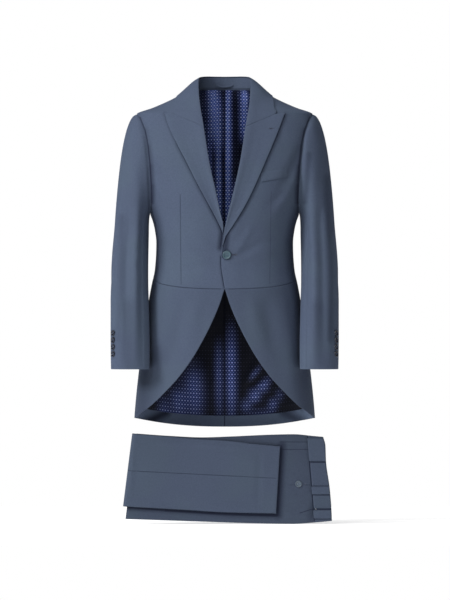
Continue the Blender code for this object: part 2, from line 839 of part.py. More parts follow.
def add_button(name, seat, facing, size, finish, sides, mirror=False):
    """A turned button with a raised rim, lying on a seat and facing a direction."""
    radius, thick = size[0] / 2, size[1]
    axis = facing.copy()
    middle = seat.copy()
    if mirror:
        axis.x, middle.x = -axis.x, -middle.x
    section = ((0.0, 0.0), (0.82, 0.0), (1.0, 0.4), (0.97, 0.85), (0.86, 1.0), (0.66, 0.68),
               (0.0, 0.62))
    across = axis.cross(Vector((0, 0, 1))).normalized()
    up = across.cross(axis).normalized()
    points = []
    rings = []
    for share, rise in section:
        level = middle + axis * (SEAM_GAP + thick * rise)
        if share == 0:
            rings.append([len(points)])
            points.append(level)
            continue
        ring = []
        for k in range(sides):
            angle = math.tau * k / sides
            spoke = across * math.cos(angle) + up * math.sin(angle)
            ring.append(len(points))
            points.append(level + spoke * radius * share)
        rings.append(ring)
    faces = []
    for lower, upper in zip(rings, rings[1:]):
        for k in range(sides):
            a, b = lower[k % len(lower)], lower[(k + 1) % len(lower)]
            c, d = upper[(k + 1) % len(upper)], upper[k % len(upper)]
            faces.append(tuple(dict.fromkeys((a, b, c, d))))
    add_piece(name, points, faces, finish)


# Lapels, collar and breast welt

def roll_puff(share):
    """How far cloth stands up beside the roll line, by share of the lapel's width."""
    return ROLL_PUFF * math.exp(-((share - 0.08) / 0.16) ** 2)


def gorge_point(share):
    """A point of the lapel's top line: from the roll line over the notch to the peak."""
    turn_over = LAPEL_NOTCH_SHARE
    if share < turn_over:
        t = share / turn_over
        return lerp(GORGE_ROLL[0], GORGE_NOTCH[0], t), lerp(GORGE_ROLL[1], GORGE_NOTCH[1], t)
    t = (share - turn_over) / (1 - turn_over)
    return lerp(GORGE_NOTCH[0], PEAK_TIP[0], t), lerp(GORGE_NOTCH[1], PEAK_TIP[1], t)


def lapel_roll(side, height):
    """The roll line's distance from the centre."""
    if side == "under" and height < UNDER_LAPEL_ROLL[0].height:
        return UNDER_ROLL(height)
    return FRONT_LINE[side](height)


def build_lapel(side, mirror):
    """One lapel, laid on its forepart with a soft roll."""
    hand = "right" if mirror else "left"
    low = LAPEL_LOW[side]
    outer, inner = [], []
    shares = [share * LAPEL_NOTCH_SHARE for share in COLLAR_SHARES] + [0.87, 1.0]
    for rise in spread(14):
        roll_height = lerp(low, GORGE_ROLL[1], rise)
        edge_height = lerp(low, PEAK_TIP[1], rise)
        ends = ((lapel_roll(side, roll_height), roll_height),
                (LAPEL_LINE[side](edge_height), edge_height))
        outer_row, inner_row = [], []
        for share in shares:
            across = lerp(ends[0][0], ends[1][0], share)
            height = lerp(ends[0][1], ends[1][1], share)
            top_across, top_height = gorge_point(share)
            pull = smoothstep(0.75, 1.0, rise)
            straight = (lerp(lapel_roll(side, GORGE_ROLL[1]), LAPEL_LINE[side](PEAK_TIP[1]), share),
                        lerp(GORGE_ROLL[1], PEAK_TIP[1], share))
            across += (top_across - straight[0]) * pull
            height += (top_height - straight[1]) * pull
            puff = roll_puff(share) * smoothstep(0.0, 0.3, rise)
            turn = front_turn(across, height)
            top, normal = on_form(turn, height, LAID_GAP + LAPEL_CLOTH + puff, side)
            outer_row.append(top)
            inner_row.append(top - normal * LAPEL_CLOTH)
        outer.append(outer_row)
        inner.append(inner_row)
    trim(outer, ("top",))
    trim(inner, ("top",))
    closed_wall(f"lapel_{hand}", outer, inner, "suiting", mirror)


def collar_line(column):
    """One column of the collar's table as a smooth line, by row number."""
    Spot = namedtuple("Spot", "number amount")
    rows = [Spot(i, getattr(row, column)) for i, row in enumerate(COLLAR_ROWS)]
    return Profile(rows, "number", "amount")


COLLAR_LINE = {column: collar_line(column) for column in CollarRow._fields}


def collar_fold(number):
    """The fold line's point at a row number, which may lie between rows."""
    return Vector([COLLAR_LINE[column](number) for column in ("fold_x", "fold_y", "fold_z")])


def collar_station(number):
    """One section of the collar's fall: points from the fold to the edge.

    Near the gorge it lies on the front; round the neck it falls free from the fold."""
    fold = collar_fold(number)
    clear = LAID_GAP + LAPEL_CLOTH + COLLAR_RISE * smoothstep(0.0, 2.0, number)
    edge, edge_normal = on_form(COLLAR_LINE["edge_turn"](number),
                                COLLAR_LINE["edge_z"](number), clear)
    free = smoothstep(COLLAR_FREE[0], COLLAR_FREE[1], number)
    points, outward = [], []
    for share in COLLAR_SHARES:
        point = fold.lerp(edge, share)
        lift = COLLAR_LINE["bulge"](number) * 4 * share * (1 - share) * (1.4 - 0.8 * share)
        point += (edge_normal + Vector((0, 0, 0.6))).normalized() * lift
        lying = edge_normal
        if free < 1:
            end = form_point(COLLAR_LINE["edge_turn"](number), COLLAR_LINE["edge_z"](number))
            if number == 0:
                end.x = GORGE_NOTCH[0]
            across, height = lerp(fold.x, end.x, share), lerp(fold.z, end.z, share)
            laid, lying = on_form(front_turn(across, height), height,
                                  clear + roll_puff(share * LAPEL_NOTCH_SHARE))
            point = laid.lerp(point, free)
        points.append(point)
        outward.append(lying)
    return points, outward, free


def build_collar():
    """The collar's fall and its stand."""
    last = len(COLLAR_ROWS) - 1
    numbers = [0.0, 0.4, 0.8, 1.2, 1.6, 2.0, 2.4, 2.8, 3.2, 3.6] + [4.0 + 0.5 * k for k in range(17)]
    stations = [collar_station(number) for number in numbers]
    sections = [points for points, _, _ in stations]
    lower = []
    for (points, lying, free), normals in zip(stations, grid_normals(sections)):
        lower.append([point - lies.lerp(normal, free).normalized() * LAPEL_CLOTH
                      for point, lies, normal in zip(points, lying, normals)])
    for points in (lower[-1], sections[-1]):
        for point in points:
            point.x = 0.0
    outer = sections + flipped(sections[:-1])
    inner = lower + flipped(lower[:-1])
    trim(outer, ("bottom", "top"))
    trim(inner, ("bottom", "top"))
    closed_wall("collar_fall", outer, inner, "suiting")

    outer, inner = [], []
    for k in range(2 * (last - STAND_FIRST_ROW) + 1):
        fold = collar_fold(STAND_FIRST_ROW + 0.5 * k)
        base_turn = math.degrees(math.atan2(fold.x / HALF_WIDTH(0), -fold.y / BACK_DEPTH(0)))
        base = form_point(base_turn, 0.0)
        outward = Vector((base.x, base.y, 0)).normalized()
        base = base - outward * STAND_CLOTH + Vector((0, 0, SEAM_GAP))
        top = fold - outward * 1.0
        top.z = max(fold.z - STAND_CLEAR, base.z + 3.0)
        section = [base.lerp(top, share) for share in spread(3)]
        outer.append(section)
        inner.append([point + outward * STAND_CLOTH for point in section])
    outer += flipped(outer[:-1])
    inner += flipped(inner[:-1])
    closed_wall("collar_stand", outer, inner, "suiting")


def flipped(sections):
    """The sections mirrored to the other side, in the opposite order."""
    return [[Vector((-p.x, p.y, p.z)) for p in section] for section in sections][::-1]


def build_welt():
    """The breast pocket's welt on the over front."""
    outer, inner = [], []
    for rise in spread(2):
        outer_row, inner_row = [], []
        for share in spread(6):
            across = lerp(WELT_INNER[0], WELT_OUTER[0], share)
            height = lerp(WELT_INNER[1], WELT_OUTER[1], share) + WELT_HEIGHT * rise
            point, normal = on_form(front_turn(across, height), height, LAID_GAP + 1.2, "over")
            outer_row.append(point)
            inner_row.append(point - normal * 1.2)
        outer.append(outer_row)
        inner.append(inner_row)
    closed_wall("breast_welt", outer, inner, "suiting")


# Folded trousers

PILE_TOP_LINE = Profile(PILE_TOP, "along", "height")
PILE_BOTTOM_LINE = Profile(PILE_BOTTOM, "along", "height")
LEG_TOP_LINE = Profile(LEG_TOP, "along", "height")
LEG_BOTTOM_LINE = Profile(LEG_BOTTOM, "along", "height")
BAND_LINE = Profile(BAND_OUTER, "height", "along")


def edge_fade(share, roundness):
    """1 inside a layer and falling at its two ends, as a folded edge rounds off."""
    return (1 - abs(2 * share - 1) ** roundness) ** (1 / 3)


def slab(name, first, last, top, bottom, back, front, counts, finish="suiting"):
    """A layer with a flat back and rounded edges.

    first and last give its ends' x by share of height, and top and bottom its edges'
    height by x. counts is the number of steps along and across."""
    along, across = rounded_shares(counts[0]), rounded_shares(counts[1])
    outer, inner = [], []
    for drop in across:
        outer_row, inner_row = [], []
        for share in along:
            x = lerp(first(drop), last(drop), share)
            z = lerp(top(x), bottom(x), drop)
            fade = edge_fade(share, 14) * edge_fade(drop, 10)
            y = lerp(back, front, 0.45 + 0.55 * fade)
            outer_row.append(Vector((x, y, z)))
            inner_row.append(Vector((x, back, z)))
        outer.append(outer_row)
        inner.append(inner_row)
    closed_wall(name, outer, inner, finish)


def knee_x(drop):
    """The knee fold's x by share of the leg's height."""
    return lerp(KNEE_FOLD[0], KNEE_FOLD[1], drop)


def hem_x(drop):
    """The leg hem's x by share of the leg's height."""
    return lerp(LEG_HEM[0], LEG_HEM[1], drop)


def build_leg(name, depth, hem_back):
    """One leg layer, from its hem along the pile and round the knee fold.

    depth is how far it lies inside the pile's outer layer."""
    radius = (PILE_BACK - PILE_FRONT) / 2 - depth
    middle = (PILE_BACK + PILE_FRONT) / 2
    centre_back = (PILE_BACK - PILE_FRONT) / 2
    inset = depth * 0.5
    outer, inner = [], []
    for drop in spread(7):
        outer_row, inner_row = [], []
        centre = knee_x(drop) + centre_back

        def height(x):
            return lerp(LEG_TOP_LINE(x) - inset, LEG_BOTTOM_LINE(x) + inset, drop)

        for share in spread(9):
            x = lerp(hem_x(drop) - hem_back, centre, share)
            outer_row.append(Vector((x, middle - radius, height(x))))
            inner_row.append(Vector((x, middle - radius + LEG_LAYER, height(x))))
        for share in spread(7)[1:]:
            angle = math.pi * share
            spoke = Vector((-math.sin(angle), -math.cos(angle), 0))
            at = Vector((centre, middle, 0))
            outside = at + spoke * radius
            inside = at + spoke * (radius - LEG_LAYER)
            outside.z = height(outside.x)
            inside.z = height(outside.x)
            outer_row.append(outside)
            inner_row.append(inside)
        outer.append(outer_row)
        inner.append(inner_row)
    closed_wall(name, outer, inner, "suiting")


def build_trousers():
    """Seat and hidden layers, the two legs, waistband, tab, loops and pocket button."""
    legs_deep = 2 * (LEG_LAYER + LAYER_GAP)
    seat_front = PILE_FRONT + legs_deep
    turn_room = (PILE_BACK - PILE_FRONT) / 2 + LAYER_GAP + 0.7

    def seat_start(drop):
        return knee_x(drop * 1.18) + turn_room

    def seat_stop(drop):
        return lerp(SEAT_END[0], SEAT_END[1], drop)

    slab("trouser_seat", seat_start, seat_stop, PILE_TOP_LINE, PILE_BOTTOM_LINE,
         PILE_BACK, seat_front, (18, 10))
    build_leg("trouser_leg_top", 0.0, 0.0)
    build_leg("trouser_leg_under", LEG_LAYER + LAYER_GAP, 3.5)

    def band_start(drop):
        return lerp(BAND_INNER[0], BAND_INNER[1], drop)

    def band_stop(drop):
        return BAND_LINE(lerp(BAND_OUTER[0].height, BAND_OUTER[-1].height, drop))

    slab("waistband", band_start, band_stop, PILE_TOP_LINE, PILE_BOTTOM_LINE,
         PILE_BACK, BAND_FRONT, (6, 12))
    strips = [("waistband_tab", TAB_HEIGHTS)]
    strips += [(f"belt_loop_{k}", pair) for k, pair in enumerate(LOOP_HEIGHTS, start=1)]
    for name, (high, low) in strips:
        build_strip(name, high, low)
    seat = Vector((POCKET_BUTTON[0], seat_front, POCKET_BUTTON[1]))
    add_button("pocket_button", seat, Vector((0, -1, 0)), POCKET_BUTTON_SIZE,
               "blue_button", 16)


def build_strip(name, high, low):
    """A strip of cloth laid across the waistband between two heights."""
    depth = PILE_BOTTOM_LINE(250) - PILE_TOP_LINE(250)

    def inner_x(height):
        drop = (height - PILE_TOP_LINE(250)) / depth
        return lerp(BAND_INNER[0], BAND_INNER[1], drop) + 1.0

    def first(drop):
        return inner_x(lerp(high, low, drop))

    def last(drop):
        return BAND_LINE(lerp(high, low, drop)) - 1.5

    slab(name, first, last, lambda _x: high, lambda _x: low, BAND_FRONT - SEAM_GAP,
         BAND_FRONT - SEAM_GAP - LOOP_THICKNESS, (6, 4))


def build_suit():
    """Build the coat and the trousers."""
    for thing in list(bpy.data.objects):
        bpy.data.objects.remove(thing, do_unlink=True)
    for side, mirror in (("over", False), ("under", True)):
        loops = build_body(side, mirror)
        build_sleeve(loops, mirror)
        build_lapel(side, mirror)
    build_collar()
    build_welt()
    across, height = FRONT_BUTTON
    seat, facing = on_form(front_turn(across, height), height, 0.6, "over")
    add_button("front_button", seat, facing, FRONT_BUTTON_SIZE, "blue_button", 16)
    build_trousers()


build_suit()
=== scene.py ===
"""Look of the two-piece suit: finely shaped cloth, lining, buttons, stitches and studio.

Lengths in the tables are millimetres, measured from the nape. The coat's fronts face -Y,
+Z is up, and the "over" side is the wearer's left, which laps over the other.
"""
import logging
import math
from collections.abc import Callable, Sequence
from dataclasses import dataclass, field
from enum import Enum
from typing import Any, NamedTuple

import bmesh
import bpy
import numpy as np
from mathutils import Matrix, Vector


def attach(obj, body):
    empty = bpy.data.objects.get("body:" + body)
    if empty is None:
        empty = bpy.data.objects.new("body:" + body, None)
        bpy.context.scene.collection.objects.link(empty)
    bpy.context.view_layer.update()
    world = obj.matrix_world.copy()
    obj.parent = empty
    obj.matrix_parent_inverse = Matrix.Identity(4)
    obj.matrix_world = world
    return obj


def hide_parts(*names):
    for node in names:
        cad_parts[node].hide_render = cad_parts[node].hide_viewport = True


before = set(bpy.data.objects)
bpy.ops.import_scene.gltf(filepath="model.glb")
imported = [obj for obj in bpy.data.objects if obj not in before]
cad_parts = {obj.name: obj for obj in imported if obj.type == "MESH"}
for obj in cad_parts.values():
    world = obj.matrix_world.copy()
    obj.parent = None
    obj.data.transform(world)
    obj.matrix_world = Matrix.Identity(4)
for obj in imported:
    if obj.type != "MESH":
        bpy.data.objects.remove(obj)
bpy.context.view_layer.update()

MM = 0.001
MIRROR = np.array([-1, 1, 1])
Array = np.ndarray
Material = bpy.types.Material
Piece = bpy.types.Object
log = logging.getLogger("suit")


# Small helpers


class Side(Enum):
    """The front that laps over, and the one under it."""

    OVER = "left"
    UNDER = "right"


class Held(Enum):
    """How a sheet of cloth is held."""

    HUNG = "hung"
    FOLDED = "folded"


def lerp(a: Any, b: Any, t: Any) -> Any:
    """The value a share t of the way from a to b."""
    return a + (b - a) * t


def smoothstep(start: float, end: float, value: Any) -> Any:
    """0 before start, 1 past end and a soft rise between them."""
    t = np.clip((value - start) / (end - start), 0.0, 1.0)
    return t * t * (3 - 2 * t)


def spread(count: int) -> Array:
    """count + 1 even shares from 0 to 1."""
    return np.linspace(0.0, 1.0, count + 1)


def eased(count: int) -> Array:
    """count + 1 shares from 0 to 1, closer together at both ends."""
    return 0.5 - 0.5 * np.cos(math.pi * spread(count))


def calm(shape: Sequence[int], across: float, along: float) -> Array:
    """How much of a crease a panel keeps, so that its seams stay closed.

    Args:
        shape: Rows and columns of the panel's grid.
        across: Columns over which a crease fades out at the sides.
        along: Rows over which it fades out at the ends.

    Returns:
        1 inside the grid and 0 at its edges.
    """
    rows, columns = np.arange(shape[0]), np.arange(shape[1])
    i = np.minimum(columns, columns[::-1]) / across
    j = np.minimum(rows, rows[::-1]) / along
    return smoothstep(0, 1, i)[None, :] * smoothstep(0, 1, j)[:, None]


def flat_place(x: Any, z: Any) -> Array:
    """Points in the picture's plane."""
    return np.stack([x, np.zeros_like(x), z], axis=-1)


def table(kind: Callable[..., Any], *rows: Sequence[Any]) -> tuple[Any, ...]:
    """Rows of one kind from their plain values."""
    return tuple(kind(*row) for row in rows)


def unit(vectors: Array) -> Array:
    """The vectors at length 1."""
    return vectors / np.maximum(np.linalg.norm(vectors, axis=-1, keepdims=True), 1e-9)


class Line:
    """A smooth line without overshoot through the rows of a table."""

    def __init__(self, places: Sequence[float], values: Sequence[float]) -> None:
        """Prepare the slopes at the rows.

        Args:
            places: Where the values are known.
            values: The values there.
        """
        order = np.argsort(places)
        self.places = np.asarray(places, float)[order]
        self.values = np.asarray(values, float)[order]
        rises = np.diff(self.values) / np.diff(self.places)
        product = rises[:-1] * rises[1:]
        total = np.where(product > 0, rises[:-1] + rises[1:], 1.0)
        inner = np.where(product > 0, 2 * product / total, 0.0)
        self.slopes = np.concatenate([rises[:1], inner, rises[-1:]])

    def __call__(self, place: Any) -> Any:
        """The line's value at one place or at many.

        Args:
            place: A place, or an array of places.

        Returns:
            The value or values there.
        """
        spot = np.clip(np.asarray(place, float), self.places[0], self.places[-1])
        i = np.clip(np.searchsorted(self.places, spot) - 1, 0, len(self.places) - 2)
        width = self.places[i + 1] - self.places[i]
        t = (spot - self.places[i]) / width
        low = self.values[i] * (2 * t**3 - 3 * t**2 + 1)
        low = low + self.slopes[i] * width * (t**3 - 2 * t**2 + t)
        high = self.values[i + 1] * (3 * t**2 - 2 * t**3)
        return low + high + self.slopes[i + 1] * width * (t**3 - t**2)


# The form that the coat follows


class FormRow(NamedTuple):
    """Half width and half depths of the form at a height."""

    height: float
    half_width: float
    front: float
    back: float


class SideRow(NamedTuple):
    """A distance from the centre at a height, on the over and the under side."""

    height: float
    over: float
    under: float


class SeamRow(NamedTuple):
    """A distance from the centre at a height."""

    height: float
    across: float


FORM_ROWS = table(FormRow,
    (0, 72, 30, 66), (-6, 95.5, 45, 71), (-13, 107, 52.5, 76), (-28.5, 135, 64, 83),
    (-49.5, 182, 77, 91), (-66, 224.8, 86, 96), (-103, 236, 101, 105), (-148, 234.5, 114, 112),
    (-193, 226.5, 123, 116), (-245, 213, 129, 115), (-290, 199.5, 131, 112), (-322, 189.5, 130.5, 108),
    (-361, 178.5, 127, 102), (-395, 174.8, 122, 97), (-425, 175.2, 119, 95), (-463, 178.2, 118, 97),
    (-500, 186, 119, 103), (-542, 193.7, 121, 111), (-630, 206.5, 125, 119), (-716, 218.4, 129, 122),
    (-841, 230.4, 134, 124), (-875, 232, 135, 124),
)
FRONT_EDGE = table(SideRow,
    (0, 65.5, 65.5), (-28, 64.2, 64.2), (-95, 53.4, 53.4), (-185, 39.5, 39.5), (-271, 20.7, 20.5),
    (-350, 1.7, 2.4), (-376, -3.0, -8.5), (-402, -6.9, -13.0), (-425, -8.9, -15.5),
    (-450, -8.9, -15.0), (-480, -5.1, -9.5), (-512, 0.6, -0.6),
)
BACK_SEAM = table(SeamRow,
    (-220, 170), (-232, 148), (-252, 121), (-285, 92), (-330, 69), (-385, 52), (-455, 44), (-560, 47),
    (-700, 56), (-880, 66),
)
CUTAWAY = table(SeamRow,
    (-512, 0.6), (-544, 10.5), (-583, 26.0), (-622, 44.5), (-664, 67.0), (-703, 91.5), (-740, 119.5),
    (-774, 151.0), (-808, 186.5), (-841, 230.4),
)


def table_line(rows: Sequence[Any], value: str, along: str = "height") -> Line:
    """A line through one named column of a table.

    Args:
        rows: The table's rows.
        value: The column that the line gives.
        along: The column that it runs along.

    Returns:
        The line.
    """
    return Line([getattr(row, along) for row in rows], [getattr(row, value) for row in rows])


@dataclass(frozen=True)
class CoatForm:
    """The hollow form of the worn coat and the lines of its seams."""

    squareness: float = 2.3
    half_width: Line = table_line(FORM_ROWS, "half_width")
    front_depth: Line = table_line(FORM_ROWS, "front")
    back_depth: Line = table_line(FORM_ROWS, "back")
    front_over: Line = table_line(FRONT_EDGE, "over")
    front_under: Line = table_line(FRONT_EDGE, "under")
    back_line: Line = table_line(BACK_SEAM, "across")
    cutaway: Line = table_line(CUTAWAY, "across")
    armhole_top: float = -66.0
    armhole_bottom: float = -322.0
    armhole_front: float = 74.0
    armhole_back: float = 83.0
    armhole_fullness: float = 0.8
    side_seam: float = 73.0
    back_seam_top: float = -220.0
    waist_front: float = -512.0
    waist_rise: float = 55.0
    hem_side: float = -841.0
    hem_drop: float = 24.0
    lap_step: float = 1.6
    lap_width: tuple[float, float] = (22.0, 60.0)
    lap_top: tuple[float, float] = (-330.0, -270.0)
    lap_end: tuple[float, float] = (-512.0, -575.0)

    def point(self, turn: Any, height: Any) -> Array:
        """Points at turns from the centre front, in degrees, and heights.

        Args:
            turn: Turns in degrees.
            height: Heights in millimetres.

        Returns:
            Points in millimetres.
        """
        turn, height = np.broadcast_arrays(np.asarray(turn, float), np.asarray(height, float))
        side, fore = np.sin(np.radians(turn)), np.cos(np.radians(turn))
        depth = np.where(fore > 0, self.front_depth(height), self.back_depth(height))
        power = 2 / self.squareness
        x = self.half_width(height) * np.sign(side) * np.abs(side) ** power
        y = -depth * np.sign(fore) * np.abs(fore) ** power
        return np.stack([x, y, height], axis=-1)

    def fullness(self, points: Array, height: Array) -> Array:
        """How full the section is at the points: 1 on the form."""
        depth = np.where(points[..., 1] < 0, self.front_depth(height), self.back_depth(height))
        across = np.abs(points[..., 0]) / self.half_width(height)
        return across**self.squareness + (np.abs(points[..., 1]) / depth) ** self.squareness

    def normal(self, points: Array) -> Array:
        """Outward directions at points on the form.

        Args:
            points: Points in millimetres.

        Returns:
            Unit directions, one for each point.
        """
        x, y, height = points[..., 0], points[..., 1], points[..., 2]
        depth = np.where(y < 0, self.front_depth(height), self.back_depth(height))
        width = self.half_width(height)
        power = self.squareness - 1
        across = self.squareness * np.sign(x) * np.abs(x / width) ** power / width
        deep = self.squareness * np.sign(y) * np.abs(y / depth) ** power / depth
        step = 1.5
        above, below = self.fullness(points, height + step), self.fullness(points, height - step)
        return unit(np.stack([across, deep, (above - below) / (2 * step)], axis=-1))

    def front_turn(self, across: Any, height: Any) -> Any:
        """The turn of front points at distances from the centre."""
        share = np.minimum(np.abs(across) / self.half_width(height), 1.0)
        return np.sign(across) * np.degrees(np.arcsin(share ** (self.squareness / 2)))

    def lap(self, points: Array, side: Side) -> Array:
        """How far a front lies out or in where the fronts lap.

        Args:
            points: Points of a front.
            side: The wearer's side.

        Returns:
            Distances in millimetres.
        """
        near = 1 - smoothstep(*self.lap_width, points[..., 0])
        top = smoothstep(-self.lap_top[1], -self.lap_top[0], -points[..., 2])
        end = 1 - smoothstep(-self.lap_end[0], -self.lap_end[1], -points[..., 2])
        return self.lap_step * near * top * end * (1 if side is Side.OVER else -1)

    def on(self, turn: Any, height: Any, proud: Any = 0.0, side: Side | None = None
           ) -> tuple[Array, Array]:
        """Points moved out from the form.

        Args:
            turn: Turns from the centre front, in degrees.
            height: Heights.
            proud: How far the points lie out from the form.
            side: The front that laps here, or None.

        Returns:
            The points and the outward directions there.
        """
        base = self.point(turn, height)
        normal = self.normal(base)
        out = np.broadcast_to(np.asarray(proud, float), base.shape[:-1])
        if side is not None:
            out = out + np.where(np.asarray(turn) < 90, self.lap(base, side), 0.0)
        return base + normal * out[..., None], normal

    def front_line(self, side: Side) -> Line:
        """The roll line and front edge of one side."""
        return self.front_over if side is Side.OVER else self.front_under

    def waist(self, turn: Any) -> Any:
        """The waist seam's height, rising to the back."""
        return self.waist_front + self.waist_rise * (1 - np.cos(np.radians(turn))) / 2

    def hem(self, turn: Any) -> Any:
        """The hem's height behind the side, lowest at the centre back."""
        past = np.radians(np.maximum(np.asarray(turn) - 90.0, 0.0))
        return self.hem_side - self.hem_drop * (1 - np.cos(2 * past)) / 2

    def armhole(self, height: Any, at_back: bool) -> Any:
        """The turn of the armhole's front or back edge at heights.

        Args:
            height: Heights in millimetres.
            at_back: Whether the back edge is meant.

        Returns:
            Turns in degrees.
        """
        middle = (self.armhole_top + self.armhole_bottom) / 2
        reach = (self.armhole_top - self.armhole_bottom) / 2
        share = np.clip((np.asarray(height, float) - middle) / reach, -1.0, 1.0)
        swing = np.sin(np.arccos(share)) ** self.armhole_fullness
        size = self.armhole_back if at_back else self.armhole_front
        depth = self.back_depth(height) if at_back else self.front_depth(height)
        turn = np.degrees(np.arccos((size * swing / depth) ** (self.squareness / 2)))
        return 180.0 - turn if at_back else turn

    def armhole_floor(self, turn: Any) -> Any:
        """The height of the armhole's lower edge at turns.

        Args:
            turn: Turns in degrees.

        Returns:
            Heights in millimetres.
        """
        turn = np.atleast_1d(np.asarray(turn, float))
        at_back = turn > 90
        low = np.full(turn.shape, self.armhole_bottom)
        high = np.full(turn.shape, (self.armhole_top + self.armhole_bottom) / 2)
        for _ in range(40):
            middle = (low + high) / 2
            front_open = self.armhole(middle, False) < turn
            back_open = self.armhole(middle, True) > turn
            opened = np.where(at_back, back_open, front_open)
            high = np.where(opened, middle, high)
            low = np.where(opened, low, middle)
        return (low + high) / 2

    def armhole_heights(self, low: float, count: int) -> Array:
        """Heights from a low one to the armhole's top, evenly spaced along its edge.

        Args:
            low: The lowest height.
            count: Steps along the edge, one fewer than the heights.

        Returns:
            The heights in millimetres.
        """
        middle = (self.armhole_top + self.armhole_bottom) / 2
        reach = (self.armhole_top - self.armhole_bottom) / 2
        start = math.acos((low - middle) / reach)
        return middle + reach * np.cos(start * (1 - spread(count)))

    def back_seam(self, height: Any) -> Any:
        """The turn of the back seam at heights."""
        return 180.0 - self.front_turn(self.back_line(height), height)


FORM = CoatForm()
FRONT_JUNCTION = float(FORM.armhole_floor(FORM.side_seam)[0])
BACK_JUNCTION = float(FORM.armhole(FORM.back_seam_top, True))
WAIST_BACK = float(FORM.waist(FORM.back_seam(FORM.waist_front + FORM.waist_rise)))


# Soft troughs and ridges in cloth


class Crease(NamedTuple):
    """A soft ridge, or a trough where its rise is negative.

    It runs between two places, each (distance from the centre, height) on a front or a back.
    """

    start: tuple[float, float]
    end: tuple[float, float]
    rise: float
    width: float
    bow: float = 0.0


class Relief:
    """Listed creases laid on a surface."""

    def __init__(self, creases: Sequence[Crease], at_back: bool = False,
                 lay: Callable[[Array, Array], Array] | None = None, lobe: float = 0.28) -> None:
        """Lay each crease's line on the surface.

        Args:
            creases: The table of creases.
            at_back: Whether their places lie on the back.
            lay: Gives points of the surface from distances and heights.
            lobe: The share by which the cloth gives way beside a crease.
        """
        self.lobe = lobe
        self.tracks = []
        for crease in creases:
            share = spread(10)
            x = lerp(crease.start[0], crease.end[0], share)
            z = lerp(crease.start[1], crease.end[1], share)
            along = np.array(crease.end) - np.array(crease.start)
            span = np.linalg.norm(along)
            x = x - along[1] / span * crease.bow * 4 * share * (1 - share)
            z = z + along[0] / span * crease.bow * 4 * share * (1 - share)
            if lay is None:
                turn = FORM.front_turn(x, z)
                points = FORM.point(180.0 - turn if at_back else turn, z)
            else:
                points = lay(x, z)
            self.tracks.append((points, crease))

    def __call__(self, points: Array) -> Array:
        """How far the surface rises at points.

        Args:
            points: Points in millimetres.

        Returns:
            Rises in millimetres, one for each point.
        """
        flat = points.reshape(-1, 3)
        total = np.zeros(len(flat))
        for track, crease in self.tracks:
            starts, ends = track[:-1], track[1:]
            leg = ends - starts
            size = np.maximum((leg**2).sum(-1), 1e-9)
            t = np.einsum("psc,sc->ps", flat[:, None, :] - starts[None], leg) / size
            t = np.clip(t, 0.0, 1.0)
            near = starts[None] + leg[None] * t[..., None]
            gap = np.linalg.norm(flat[:, None, :] - near, axis=-1)
            best = gap.argmin(axis=1)
            rows = np.arange(len(flat))
            share = (best + t[rows, best]) / len(starts)
            fade = np.sin(math.pi * np.clip(share * 0.92 + 0.04, 0, 1)) ** 0.8
            d = gap[rows, best] / crease.width
            shape = np.exp(-d * d) - self.lobe * np.exp(-((d - 2.0) ** 2))
            total += crease.rise * fade * shape
        return total.reshape(points.shape[:-1])


# Walls of cloth


# Where the rings of a rounded edge lie on its half circle, in degrees
EDGE_ANGLES = (50.0, 90.0, 130.0)


def two_sides(rows: int, columns: int) -> list[tuple[int, ...]]:
    """The faces of a grid's front and of its copy behind, which looks the other way.

    Args:
        rows: Rows of one grid.
        columns: Columns of one grid.

    Returns:
        The faces; the copy's points are numbered after the front's.
    """
    layer = rows * columns
    faces: list[tuple[int, ...]] = []
    for j in range(rows - 1):
        for a in range(j * columns, (j + 1) * columns - 1):
            faces.append((a, a + 1, a + 1 + columns, a + columns))
            faces.append((layer + a + columns, layer + a + 1 + columns, layer + a + 1, layer + a))
    return faces


def rim(rows: int, columns: int) -> Array:
    """The numbers of a grid's outer points, in order around it."""
    index = np.arange(rows * columns).reshape(rows, columns)
    return np.concatenate([index[0, :-1], index[:-1, -1], index[-1, :0:-1], index[:0:-1, 0]])


